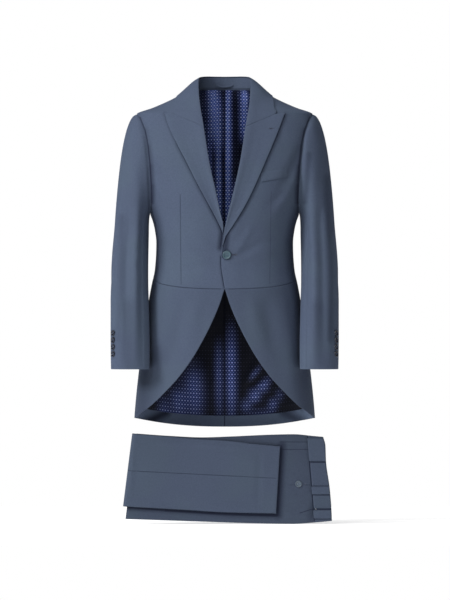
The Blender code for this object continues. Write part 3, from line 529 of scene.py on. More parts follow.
@dataclass
class Wall:
    """A closed wall of cloth with rounded edges, from a grid of its outer points."""

    name: str
    outer: Array
    normals: Array
    cloth: float = 2.0
    edge: float = 0.7
    u_at_end: bool = False
    mirror: bool = False
    relief: Array | None = None
    roundness: Array | None = None
    # Painted light level for each point, stored as a point attribute that scales the lining's colour
    shade: Array | None = None

    def flat_size(self) -> tuple[float, float, float]:
        """The unrolled width, length and area in metres of the outer side.

        Returns:
            Width, length and area.
        """
        grid = self.outer
        rows = np.linalg.norm(np.diff(grid, axis=1), axis=-1).sum(axis=1)
        columns = np.linalg.norm(np.diff(grid, axis=0), axis=-1).sum(axis=0)
        a, b = grid[1:, :-1] - grid[:-1, :-1], grid[:-1, 1:] - grid[:-1, :-1]
        c, d = grid[:-1, 1:] - grid[1:, 1:], grid[1:, :-1] - grid[1:, 1:]
        area = np.linalg.norm(np.cross(a, b), axis=-1) + np.linalg.norm(np.cross(c, d), axis=-1)
        return rows.max() * MM, columns.max() * MM, area.sum() / 2 * MM * MM

    def build(self, material: Material) -> Piece:
        """Make the wall's mesh with a UV map in metres.

        Args:
            material: The finish.

        Returns:
            The new object.
        """
        grid = self.outer
        rows, columns = grid.shape[:2]
        steps_u = np.linalg.norm(np.diff(grid, axis=1), axis=-1)
        u = np.concatenate([np.zeros((rows, 1)), np.cumsum(steps_u, axis=1)], axis=1)
        if self.u_at_end:
            u = u - u[:, -1:]
        steps_v = np.linalg.norm(np.diff(grid, axis=0), axis=-1)
        v = np.concatenate([np.zeros((1, columns)), np.cumsum(steps_v, axis=0)], axis=0)
        uv = np.stack([u, v], axis=-1) * MM
        if self.relief is not None:
            grid = grid + self.normals * self.relief[..., None]
        inner = grid - self.normals * self.cloth

        loop = rim(rows, columns)
        outward = np.zeros_like(grid)
        outward[:, 0] += unit(grid[:, 0] - grid[:, 1])
        outward[:, -1] += unit(grid[:, -1] - grid[:, -2])
        outward[0] += unit(grid[0] - grid[1])
        outward[-1] += unit(grid[-1] - grid[-2])
        outward = unit(outward)
        at_edge = np.zeros((rows, columns), bool)
        at_edge.reshape(-1)[loop] = True
        soft = np.full((rows, columns), self.edge)
        if self.roundness is not None:
            soft = soft * self.roundness
        pull = outward * (soft * at_edge)[..., None]
        points = [(grid - pull).reshape(-1, 3), (inner - pull).reshape(-1, 3)]
        uvs = [uv.reshape(-1, 2), uv.reshape(-1, 2)]
        layer = rows * columns
        faces = two_sides(rows, columns)
        start, size = 2 * layer, len(loop)
        sources = [np.arange(layer), np.arange(layer)]
        ids = [loop]
        for angle in np.radians(EDGE_ANGLES):
            fall = self.cloth / 2 * (1 - math.cos(angle))
            back = soft.reshape(-1)[loop] * (1 - math.sin(angle))
            ring = grid.reshape(-1, 3)[loop] - self.normals.reshape(-1, 3)[loop] * fall
            points.append(ring - outward.reshape(-1, 3)[loop] * back[:, None])
            sources.append(loop)
            uvs.append(uv.reshape(-1, 2)[loop])
            ids.append(np.arange(start, start + size))
            start += size
        ids.append(loop + layer)
        for near, far in zip(ids, ids[1:]):
            for k in range(size):
                m = (k + 1) % size
                faces.append((int(near[m]), int(near[k]), int(far[k]), int(far[m])))
        verts = np.concatenate(points) * MM
        coords = np.concatenate(uvs)
        if self.mirror:
            verts[:, 0] *= -1
        piece = make_mesh(self.name, verts, faces, material, coords)
        # Store the painted light level on the points
        if self.shade is not None:
            values = self.shade.reshape(-1)[np.concatenate(sources)].astype(np.float32)
            piece.data.attributes.new("glow", "FLOAT", "POINT").data.foreach_set("value", values)
        return piece


def make_mesh(name: str, verts: Array, faces: Sequence[Sequence[int]],
              material: Material, uvs: Array | None = None) -> Piece:
    """Make a smooth mesh object at the origin, with its faces pointing out.

    Args:
        name: The object's name.
        verts: Its points in metres.
        faces: Its faces.
        material: Its finish.
        uvs: A UV coordinate for each point, in metres.

    Returns:
        The new object.
    """
    mesh = bpy.data.meshes.new(name)
    mesh.from_pydata(verts.tolist(), [], [tuple(face) for face in faces])
    shape = bmesh.new()
    shape.from_mesh(mesh)
    bmesh.ops.recalc_face_normals(shape, faces=shape.faces)
    shape.to_mesh(mesh)
    shape.free()
    if uvs is not None:
        layer = mesh.uv_layers.new(name="cloth")
        order = np.empty(len(mesh.loops), dtype=np.int32)
        mesh.loops.foreach_get("vertex_index", order)
        layer.data.foreach_set("uv", uvs[order].astype(np.float32).ravel())
    mesh.shade_smooth()
    mesh.materials.append(material)
    piece = bpy.data.objects.new(name, mesh)
    bpy.context.collection.objects.link(piece)
    return piece


def grid_normals(grid: Array, closed: bool = False) -> Array:
    """Directions across a free grid at each point.

    Args:
        grid: The grid's points.
        closed: Whether its last column meets its first.

    Returns:
        Unit directions, one for each point.
    """
    if closed:
        along = np.roll(grid, -1, axis=1) - np.roll(grid, 1, axis=1)
    else:
        along = np.gradient(grid, axis=1)
    up = np.gradient(grid, axis=0)
    return unit(np.cross(along, up))


def place(piece: Piece, nodes: Sequence[str], slot: str) -> Piece:
    """Ride the piece on the part, in place of its solids.

    Args:
        piece: The dressed piece.
        nodes: The solids that it stands for.
        slot: The record's material slot; not used.

    Returns:
        The piece.
    """
    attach(piece, "root")
    if nodes:
        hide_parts(*nodes)
    log.info("%s: %d faces", piece.name, len(piece.data.polygons))
    return piece


def place_sheet(wall: Wall, material: Material, nodes: Sequence[str], slot: str) -> Piece:
    """Build a wall, place it and log its flat cut's size.

    Args:
        wall: The wall.
        material: Its finish.
        nodes: The solids that it stands for.
        slot: The record's material slot; not used.

    Returns:
        The piece.
    """
    width, length, area = wall.flat_size()
    piece = place(wall.build(material), nodes, slot)
    log.info("cut of %s: %.3f x %.3f m, %.4f m2", piece.name, width, length, area)
    return piece


# Shader wrapper


class Sock:
    """A shader value with arithmetic."""

    def __init__(self, graph: "Graph", socket: bpy.types.NodeSocket) -> None:
        """Keep the socket and its graph."""
        self.graph = graph
        self.socket = socket

    def _do(self, operation: str, *others: Any) -> "Sock":
        """A Math node on this value and others."""
        return self.graph.math(operation, self, *others)

    def __add__(self, other: Any) -> "Sock":
        """Sum."""
        return self._do("ADD", other)

    __radd__ = __add__

    def __sub__(self, other: Any) -> "Sock":
        """Difference."""
        return self._do("SUBTRACT", other)

    def __rsub__(self, other: Any) -> "Sock":
        """Difference from another value."""
        return self.graph.math("SUBTRACT", other, self)

    def __mul__(self, other: Any) -> "Sock":
        """Product."""
        return self._do("MULTIPLY", other)

    __rmul__ = __mul__

    def __truediv__(self, other: Any) -> "Sock":
        """Quotient."""
        return self._do("DIVIDE", other)

    def __rtruediv__(self, other: Any) -> "Sock":
        """Another value divided by this one."""
        return self.graph.math("DIVIDE", other, self)

    def sin(self) -> "Sock":
        """Sine."""
        return self._do("SINE")

    def fract(self) -> "Sock":
        """The share past the whole number."""
        return self._do("FRACT")

    def sqrt(self) -> "Sock":
        """Square root."""
        return self._do("SQRT")

    def least(self, other: Any) -> "Sock":
        """The lesser of two values."""
        return self._do("MINIMUM", other)

    def most(self, other: Any) -> "Sock":
        """The greater of two values."""
        return self._do("MAXIMUM", other)

    def step(self, start: float, end: float) -> "Sock":
        """0 to 1 softly between two values, which may be in falling order."""
        return self.graph.map_range(self, start, end)


@dataclass
class Graph:
    """Builds the nodes of one material."""

    name: str
    material: Material = field(init=False)

    def __post_init__(self) -> None:
        """Make the material with its shader."""
        self.material = bpy.data.materials.new(self.name)
        self.material.use_nodes = True
        self.tree = self.material.node_tree
        self.shader = self.tree.nodes["Principled BSDF"]

    def node(self, kind: str, settings: dict[str, Any] | None = None,
             values: dict[Any, Any] | None = None, out: Any = 0) -> Sock:
        """Add a node.

        Args:
            kind: The node's type.
            settings: Its properties.
            values: What each input gets: a number, vector or Sock.
            out: The output's name or number.

        Returns:
            The output.
        """
        node = self.tree.nodes.new(kind)
        for key, value in (settings or {}).items():
            setattr(node, key, value)
        for key, value in (values or {}).items():
            self.feed(node.inputs[key], value)
        return Sock(self, node.outputs[out])

    def feed(self, socket: bpy.types.NodeSocket, value: Any) -> None:
        """Link a Sock to an input or set its own value.

        Args:
            socket: The input.
            value: A Sock, a number or a colour.
        """
        if isinstance(value, Sock):
            self.tree.links.new(value.socket, socket)
        else:
            socket.default_value = value

    def math(self, operation: str, *parts: Any) -> Sock:
        """A Math node."""
        return self.node("ShaderNodeMath", {"operation": operation}, dict(enumerate(parts)))

    def vector(self, operation: str, *parts: Any, out: Any = 0) -> Sock:
        """A Vector Math node."""
        return self.node("ShaderNodeVectorMath", {"operation": operation},
                         dict(enumerate(parts)), out)

    def map_range(self, value: Any, start: float, end: float) -> Sock:
        """A soft step between two values."""
        return self.node("ShaderNodeMapRange", {"interpolation_type": "SMOOTHSTEP"},
                         {"Value": value, "From Min": start, "From Max": end})

    def mix(self, factor: Any, low: Any, high: Any) -> Sock:
        """A colour between two."""
        return self.node("ShaderNodeMix", {"data_type": "RGBA"},
                         {"Factor": factor, 6: low, 7: high}, out=2)

    def uv(self) -> tuple[Sock, Sock]:
        """The cloth's own coordinates, in metres."""
        source = self.node("ShaderNodeUVMap", {"uv_map": "cloth"})
        split = self.node("ShaderNodeSeparateXYZ", values={0: source})
        return split, Sock(self, split.socket.node.outputs[1])

    def where(self) -> tuple[Sock, Sock, Sock, Sock]:
        """Object coordinates: the vector, x, y and z.

        Returns:
            The vector and its three numbers, in metres.
        """
        source = self.node("ShaderNodeTexCoord", out="Object")
        split = self.node("ShaderNodeSeparateXYZ", values={0: source})
        outs = split.socket.node.outputs
        return source, Sock(self, outs[0]), Sock(self, outs[1]), Sock(self, outs[2])

    def noise(self, vector: Any, scale: float, detail: float = 2.0, rough: float = 0.5) -> Sock:
        """A noise texture's value."""
        return self.node("ShaderNodeTexNoise", values={"Vector": vector, "Scale": scale,
                                                       "Detail": detail, "Roughness": rough})

    def bump(self, height: Sock, distance: float, strength: float = 1.0) -> None:
        """Raise the surface by a height of 0 to 1 times a distance."""
        out = self.node("ShaderNodeBump", values={"Strength": strength, "Distance": distance,
                                                  "Height": height})
        self.feed(self.shader.inputs["Normal"], out)

    def surface(self, **values: Any) -> None:
        """Set or link the shader's inputs, with underscores for spaces."""
        for key, value in values.items():
            self.feed(self.shader.inputs[key.replace("_", " ")], value)


Colour = tuple[float, float, float, float]


class SeamAndShadeLine(NamedTuple):
    """A line drawn across a surface, from one place to another. It marks a pressed or sewn seam, and also
    painted shade lines and soft painted shadows.
    """

    start: tuple[float, float]
    end: tuple[float, float]
    width: float = 0.9
    depth: float = 1.0


@dataclass(frozen=True)
class Suiting:
    """Fine worsted: two yarns in a small twill, slightly mottled. Dark seam lines, painted shade lines
    and soft painted shadows are drawn on it, and a painted light factor darkens or lightens both yarns
    for panels that get less or more light.
    """

    name: str = "suiting"
    light: Colour = (0.088, 0.116, 0.180, 1.0)
    dark: Colour = (0.040, 0.054, 0.092, 1.0)
    pitch: float = 0.00075
    # Painted light: scales both yarns, giving a darker or lighter copy of the suiting for a panel in less
    # or more light
    shade: float = 1.0
    # Seam lines and painted shade lines: dark, with a groove in the bump
    seams: tuple[SeamAndShadeLine, ...] = ()
    # Soft painted shadows: dark in colour only
    shadows: tuple[SeamAndShadeLine, ...] = ()
    in_front: float = -1.0
    fade: float = 0.5

    def material(self) -> Material:
        """Make the material.

        Returns:
            The suiting's material.
        """
        g = Graph(self.name)
        u, v = g.uv()
        spot, x, y, z = g.where()
        yarn = ((u + v) * (math.tau / self.pitch)).sin()
        rib = ((u - v) * (math.tau / self.pitch / 3)).sin()
        fibre = g.noise(spot, 900.0, 2.0)
        mottle = g.noise(spot, 230.0, 3.0, 0.6)
        cloud = g.noise(spot, 9.0, 2.0)
        share = 0.5 + yarn * 0.10 + rib * 0.05
        share = share + (fibre - 0.5) * 0.5 + (mottle - 0.5) * 0.42 + (cloud - 0.5) * 0.16
        # Both yarns scaled by the painted light factor
        low, high = (tuple(c * self.shade for c in tone[:3]) + (1.0,)
                     for tone in (self.dark, self.light))
        colour = g.mix(share.most(0.0).least(1.0), low, high)
        warm = g.noise(spot, 7.0, 2.0, 0.6)
        colour = g.mix(warm.step(0.42, 0.66) * 0.20, colour, self._greyed(high))
        # The dark tone of the seam lines and of the painted shade
        deep = (self.dark[0] * 0.18, self.dark[1] * 0.20, self.dark[2] * 0.30, 1.0)
        # Soft painted shadows darken the cloth
        soft = self._lines(g, x, y, z, self.shadows, 0.0)
        if soft is not None:
            colour = g.mix(soft, colour, deep)
        # Seam lines and painted shade lines darken the cloth and sink its bump
        lines = self._lines(g, x, y, z, self.seams, 0.35)
        if lines is not None:
            colour = g.mix(lines * 0.85, colour, deep)
        height = yarn * 0.22 + rib * 0.10 + fibre * 0.5 + mottle * 0.25
        if lines is not None:
            height = height - lines * 3.0
        g.bump(height, 0.00022, 0.75)
        g.surface(Base_Color=colour, Roughness=0.82 - (mottle - 0.5) * 0.12,
                  Specular_IOR_Level=0.22, Sheen_Weight=0.10, Sheen_Roughness=0.45,
                  Sheen_Tint=(0.55, 0.66, 0.95, 1.0))
        return g.material

    @staticmethod
    def _greyed(tone: Colour) -> Colour:
        """The same tone with less blue in it."""
        return (tone[0] * 0.80, tone[1] * 0.92, tone[2] * 0.74, 1.0)

    def _lines(self, g: Graph, x: Sock, y: Sock, z: Sock, seams: Sequence[SeamAndShadeLine],
               core: float) -> Sock | None:
        """A mask of seam lines and painted shade lines, on the side where y is below in_front.

        Args:
            g: The material's graph.
            x: Across, in metres.
            y: Depth, in metres.
            z: Height, in metres.
            seams: The seam lines, painted shade lines and soft painted shadows.
            core: The share of a line's width at which it is full.

        Returns:
            The mask, or None where there are no lines.
        """
        total = None
        for seam in seams:
            (x0, z0), (x1, z1) = seam.start, seam.end
            span = math.hypot(x1 - x0, z1 - z0)
            ax, az = (x1 - x0) / span, (z1 - z0) / span
            along = (x * 1000 - x0) * ax + (z * 1000 - z0) * az
            past = along - along.most(0.0).least(span)
            off = (x * 1000 - x0) * az - (z * 1000 - z0) * ax
            line = (off * off + past * past).sqrt().step(seam.width, seam.width * core)
            line = line * seam.depth
            total = line if total is None else total.most(line)
        if total is None:
            return None
        return total * (y * 1000).step(self.in_front + self.fade, self.in_front)


@dataclass(frozen=True)
class DottedSatin:
    """Lining satin with rows of small dots and smaller ones between them. Its colour is scaled by a
    painted light level on the points, from a painted shadow colour up to a cap for painted highlights.
    """

    name: str = "lining"
    ground: Colour = (0.034, 0.054, 0.190, 1.0)
    dot: Colour = (0.40, 0.49, 1.0, 1.0)
    small: Colour = (0.17, 0.23, 0.56, 1.0)
    # The darkest colour of the painted shade
    shadow: Colour = (0.0012, 0.0022, 0.0075, 1.0)
    across: float = 0.0076
    along: float = 0.0101
    # The cap of the painted highlights
    brightest: tuple[float, float, float] = (0.58, 0.69, 1.0)
    radius: float = 0.0019
    small_radius: float = 0.0014

    def material(self) -> Material:
        """Make the material.

        Returns:
            The lining's material.
        """
        g = Graph(self.name)
        u, v = g.uv()
        spot, _, _, _ = g.where()
        main = self._dots(g, u, v, 0.0, self.radius)
        between = self._dots(g, u, v, 0.5, self.small_radius)
        cloud = g.noise(spot, 26.0, 2.0)
        thread = (v * (math.tau / 0.00035)).sin()
        # The painted light level stored on the lining's points
        glow = g.node("ShaderNodeAttribute", {"attribute_name": "glow"}, out="Fac")
        colour = g.mix(between, self.ground, self.small)
        colour = g.mix(main, colour, self.dot)
        # The pattern brightened and darkened by the painted light level
        lit = g.vector("MULTIPLY", colour, glow * (0.8 + cloud * 0.4))
        colour = g.vector("MINIMUM", g.vector("MAXIMUM", lit, self.shadow[:3]), self.brightest)
        g.bump(thread * 0.15 + main * 1.0 + cloud * 0.8, 0.00018, 0.6)
        g.surface(Base_Color=colour, Roughness=0.40 + cloud * 0.14, Specular_IOR_Level=0.12,
                  Sheen_Weight=0.03, Sheen_Roughness=0.3, Sheen_Tint=(0.35, 0.45, 1.0, 1.0))
        return g.material

    def _dots(self, g: Graph, u: Sock, v: Sock, shift: float, radius: float) -> Sock:
        """A mask of round dots on the cloth's grid, moved by a share of a step.

        Args:
            g: The material's graph.
            u: Place along the weft in metres.
            v: Place along the warp in metres.
            shift: Share of a step by which the grid is moved.
            radius: The dots' radius in metres.

        Returns:
            1 in a dot and 0 outside.
        """
        du = ((u / self.across + shift).fract() - 0.5) * self.across
        dv = ((v / self.along + shift).fract() - 0.5) * self.along
        gap = (du * du + dv * dv).sqrt()
        return g.map_range(gap, radius * 1.15, radius * 0.8)


@dataclass(frozen=True)
class Resin:
    """Cast resin of a button, with faint swirls."""

    name: str
    base: Colour
    swirl: Colour
    rough: float = 0.3

    def material(self) -> Material:
        """Make the material.

        Returns:
            The material.
        """
        g = Graph(self.name)
        spot, _, _, _ = g.where()
        warp = g.noise(spot, 130.0, 3.0)
        bands = g.noise(g.vector("ADD", spot, g.vector("MULTIPLY", spot, warp)), 260.0, 2.0)
        fine = g.noise(spot, 1500.0, 2.0)
        g.bump(fine + bands * 0.5, 0.00004, 0.5)
        g.surface(Base_Color=g.mix(bands.step(0.35, 0.68), self.base, self.swirl),
                  Roughness=self.rough + (fine - 0.5) * 0.15, Specular_IOR_Level=0.5,
                  Coat_Weight=0.35, Coat_Roughness=0.12)
        return g.material


@dataclass(frozen=True)
class Thread:
    """Twisted sewing thread."""

    name: str
    base: Colour

    def material(self) -> Material:
        """Make the material.

        Returns:
            The material.
        """
        g = Graph(self.name)
        spot, x, _, z = g.where()
        ply = ((x + z) * (math.tau / 0.0005)).sin()
        fluff = g.noise(spot, 2200.0, 2.0)
        pale = tuple(min(1.0, c * 1.7) for c in self.base[:3]) + (1.0,)
        g.bump(ply * 0.5 + fluff, 0.00006, 0.6)
        g.surface(Base_Color=g.mix(ply * 0.25 + fluff * 0.5, self.base, pale),
                  Roughness=0.6, Sheen_Weight=0.3)
        return g.material


# Coat body


SHOULDER_HEIGHTS = (-66, -57, -47, -36, -25, -14, -6, 0)

FRONT_CREASES = table(Crease,
    ((196, -150), (138, -262), -3.6, 13.0, 6.0), ((186, -205), (120, -330), 2.9, 15.0, 5.0),
    ((168, -250), (112, -300), -2.2, 10.0, 3.0), ((20, -430), (96, -392), -2.3, 8.0, -4.0),
    ((24, -446), (120, -458), -2.0, 9.0, 4.0), ((26, -418), (70, -352), 1.8, 9.0, -3.0),
    ((150, -395), (92, -418), 1.6, 11.0, 3.0), ((60, -470), (150, -498), 1.4, 10.0, 0.0),
    ((112, -90), (150, -140), -1.3, 14.0, 0.0),
)
UNDER_CREASES = table(Crease,
    ((200, -168), (150, -250), -2.5, 12.0, 5.0), ((176, -230), (132, -318), 2.2, 14.0, 4.0),
    ((16, -436), (88, -404), -2.0, 8.0, -4.0), ((20, -452), (128, -468), -1.7, 9.0, 3.0),
    ((40, -402), (84, -350), 1.4, 10.0, -3.0), ((158, -380), (110, -404), 1.4, 12.0, 0.0),
    ((52, -478), (120, -500), 1.2, 9.0, 0.0),
)
SKIRT_CREASES = table(Crease,
    ((150, -530), (172, -760), 3.5, 20.0, 4.0), ((108, -535), (128, -680), -2.9, 17.0, -3.0),
    ((66, -530), (82, -620), 1.6, 14.0, 0.0), ((186, -560), (204, -800), -2.9, 14.0, 0.0),
)
SIDE_CREASES = table(Crease,
    ((176, -420), (186, -330), -1.7, 10.0, 0.0), ((168, -470), (150, -410), 1.4, 12.0, 0.0),
)
BACK_CREASES = table(Crease,
    ((150, -130), (92, -250), -2.7, 13.0, 5.0), ((120, -180), (70, -320), 2.1, 15.0, 4.0),
    ((30, -60), (84, -96), -1.4, 10.0, 0.0), ((12, -420), (56, -452), -1.7, 8.0, -3.0),
    ((60, -380), (120, -402), 1.5, 10.0, 3.0), ((26, -520), (34, -800), 2.7, 15.0, 3.0),
    ((120, -540), (146, -800), -3.0, 18.0, -4.0), ((84, -560), (100, -820), 2.2, 16.0, 3.0),
    ((10, -300), (34, -390), -1.2, 9.0, 0.0),
)


@dataclass
class CoatBody:
    """Foreparts, side bodies, backs and skirts."""

    cloth: float = 2.0
    edge: float = 1.1
    waist_round: float = 1.5
    front_columns: int = 50
    side_columns: int = 26
    back_columns: int = 34
    low_rows: int = 42
    armhole_rows: int = 44
    shoulder_rows: int = 28
    skirt_rows: int = 62
    loops: dict[Side, tuple[Array, Array]] = field(default_factory=dict)

    def _shoulder(self) -> Array:
        """Heights from the sleeve head up to the neck."""
        steps = np.linspace(0, len(SHOULDER_HEIGHTS) - 1, self.shoulder_rows + 1)
        return np.interp(steps, range(len(SHOULDER_HEIGHTS)), SHOULDER_HEIGHTS)[1:]

    def _low(self) -> Array:
        """Shares from the waist seam up, closer together at the top."""
        return np.sin(0.5 * math.pi * spread(self.low_rows))

    def forepart(self, side: Side) -> tuple[Array, Array]:
        """Turns and heights of a forepart's grid.

        Args:
            side: The wearer's side.

        Returns:
            Turns in degrees and heights in millimetres.
        """
        shares = spread(self.front_columns) ** 1.2
        line = FORM.front_line(side)
        turns, heights = [], []
        for rise in self._low():
            turn = FORM.side_seam * shares
            for _ in range(6):
                height = lerp(FORM.waist(turn), FRONT_JUNCTION, rise)
                inner = FORM.front_turn(line(height), height)
                turn = lerp(inner, FORM.side_seam, shares)
            turns.append(turn)
            heights.append(height)
        upper = FORM.armhole_heights(FRONT_JUNCTION, self.armhole_rows)[1:]
        for height in np.concatenate([upper, self._shoulder()]):
            outer = 90.0 if height >= FORM.armhole_top - 1e-6 else FORM.armhole(height, False)
            inner = FORM.front_turn(line(height), height)
            turns.append(lerp(inner, outer, shares))
            heights.append(np.full(len(shares), height))
        return np.array(turns), np.array(heights)

    def side_body(self) -> tuple[Array, Array]:
        """Turns and heights of a side body's grid.

        Returns:
            Turns in degrees and heights in millimetres.
        """
        shares = spread(self.side_columns)
        top_turn = lerp(FORM.side_seam, BACK_JUNCTION, shares)
        ceiling = FORM.armhole_floor(top_turn)
        ceiling[0], ceiling[-1] = FRONT_JUNCTION, FORM.back_seam_top
        turns, heights = [], []
        for rise in self._low():
            back_height = lerp(WAIST_BACK, FORM.back_seam_top, rise)
            last = BACK_JUNCTION if rise >= 1 else FORM.back_seam(back_height)
            turn = lerp(FORM.side_seam, last, shares)
            height = lerp(FORM.waist(turn), ceiling, rise)
            height[-1] = back_height
            turns.append(turn)
            heights.append(height)
        return np.array(turns), np.array(heights)

    def back(self) -> tuple[Array, Array]:
        """Turns and heights of a back's grid.

        Returns:
            Turns in degrees and heights in millimetres.
        """
        shares = spread(self.back_columns)
        turns, heights = [], []
        for rise in self._skirt_rises()[:-1]:
            turn = np.full(len(shares), 170.0)
            for _ in range(6):
                height = lerp(FORM.hem(turn), WAIST_BACK, rise)
                turn = lerp(FORM.back_seam(height), 180.0, shares)
            turns.append(turn)
            heights.append(height)
        for rise in self._low():
            height = lerp(WAIST_BACK, FORM.back_seam_top, rise)
            first = BACK_JUNCTION if rise >= 1 else FORM.back_seam(height)
            turns.append(lerp(first, 180.0, shares))
            heights.append(np.full(len(shares), height))
        upper = FORM.armhole_heights(FORM.back_seam_top, self.armhole_rows)[1:]
        for height in np.concatenate([upper, self._shoulder()]):
            first = 90.0 if height >= FORM.armhole_top - 1e-6 else FORM.armhole(height, True)
            turns.append(lerp(first, 180.0, shares))
            heights.append(np.full(len(shares), height))
        return np.array(turns), np.array(heights)

    def _skirt_rises(self) -> Array:
        """Shares from the hem up, close together at the hem's corner."""
        return spread(self.skirt_rows) ** 1.6

    def skirt(self, side: Side) -> tuple[Array, Array]:
        """Turns and heights of a skirt's grid.

        Args:
            side: The wearer's side.

        Returns:
            Turns in degrees and heights in millimetres.
        """
        waist = np.concatenate([self.forepart(side)[0][0], self.side_body()[0][0][1:]])
        first, last = waist[0], waist[-1]
        shares = (waist - first) / (last - first)
        turns, heights = [], []
        for rise in self._skirt_rises():
            turn = waist
            for _ in range(8):
                height = lerp(FORM.hem(turn), FORM.waist(turn), rise)
                edge_height = lerp(FORM.hem_side, FORM.waist(first), rise)
                front = FORM.front_turn(FORM.cutaway(edge_height), edge_height)
                front = first if rise >= 1 else front
                back_height = lerp(FORM.hem(turn), FORM.waist(last), rise)
                turn = lerp(front, FORM.back_seam(back_height), shares)
            turns.append(turn)
            heights.append(height)
        return np.array(turns), np.array(heights)

    def build(self, finishes: dict[str, Material]) -> None:
        """Build the eight panels and keep the armholes' loops.

        Args:
            finishes: Materials by panel name.
        """
        for side in Side:
            mirror = side is Side.UNDER
            creases = FRONT_CREASES if side is Side.OVER else UNDER_CREASES
            panels = (
                ("forepart", self.forepart(side), Relief(creases), side),
                ("side_body", self.side_body(), Relief(SIDE_CREASES), None),
                ("back", self.back(), Relief(BACK_CREASES, at_back=True), None),
                ("skirt", self.skirt(side), Relief(SKIRT_CREASES), side),
            )
            grids = {}
            for stem, (turn, height), relief, lap in panels:
                points, normals = FORM.on(turn, height, 0.0, lap)
                grids[stem] = points.copy()
                name = f"{stem}_{side.value}"
                wall = Wall(f"{name}_cloth", points, normals, self.cloth, self.edge,
                            mirror=mirror, relief=relief(points) * calm(points.shape, 5.0, 5.0),
                            u_at_end=stem == "back", roundness=self._roundness(stem, points))
                place_sheet(wall, finishes.get(name, finishes["plain"]), [name], "suiting")
            low = self.low_rows
            front_edge = grids["forepart"][low:low + self.armhole_rows + 1, -1]
            start = self.skirt_rows + low
            back_edge = grids["back"][start:start + self.armhole_rows + 1, 0]
            over = np.concatenate([front_edge, back_edge[-2::-1]])
            under = np.concatenate([back_edge[:1], grids["side_body"][-1][-2:0:-1], front_edge[:1]])
            self.loops[side] = (over, under)

    def _roundness(self, stem: str, points: Array) -> Array:
        """How round each edge is: the waist seam and the front armhole show more.

        Args:
            stem: The panel's name without its side.
            points: The panel's grid.

        Returns:
            A factor for each point of the grid.
        """
        share = np.ones(points.shape[:2])
        if stem == "forepart":
            share[0] = self.waist_round
            share[self.low_rows:self.low_rows + self.armhole_rows, -1] = self.waist_round
        if stem == "skirt":
            share[-1] = self.waist_round
        return share


# Sleeves


class SleeveRow(NamedTuple):
    """A section of the sleeve's tube."""

    height: float
    centre_x: float
    centre_y: float
    half_width: float
    half_depth: float
    hind_seam: float


SLEEVE_ROWS = table(SleeveRow,
    (-350, 236.9, -5, 43.9, 68, -100), (-420, 240.4, -15, 46.1, 64, -85),
    (-500, 242.1, -35, 47.8, 58, -55), (-580, 240.9, -62, 49.1, 53, -22),
    (-660, 240.0, -85, 49.7, 50, 5), (-715.5, 239.6, -98, 49.0, 48, 13),
)

# Places are (turn on the sleeve, height)
SLEEVE_CREASES = table(Crease,
    ((60, -150), (66, -330), -2.0, 11.0), ((28, -170), (24, -420), 2.2, 12.0),
    ((82, -230), (78, -690), -3.6, 11.0), ((108, -190), (104, -710), 4.8, 11.0),
    ((40, -430), (52, -690), -2.2, 11.0), ((135, -395), (70, -430), -1.1, 10.0, 4.0),
    ((140, -432), (84, -470), -1.0, 10.0, 4.0), ((150, -455), (100, -520), 1.0, 11.0),
    ((-20, -420), (10, -520), -1.9, 11.0), ((-60, -300), (-50, -520), 2.2, 12.0),
    ((-110, -330), (-90, -480), -2.2, 11.0), ((60, -230), (96, -330), 1.4, 12.0),
    ((170, -350), (150, -420), -1.4, 11.0),
)


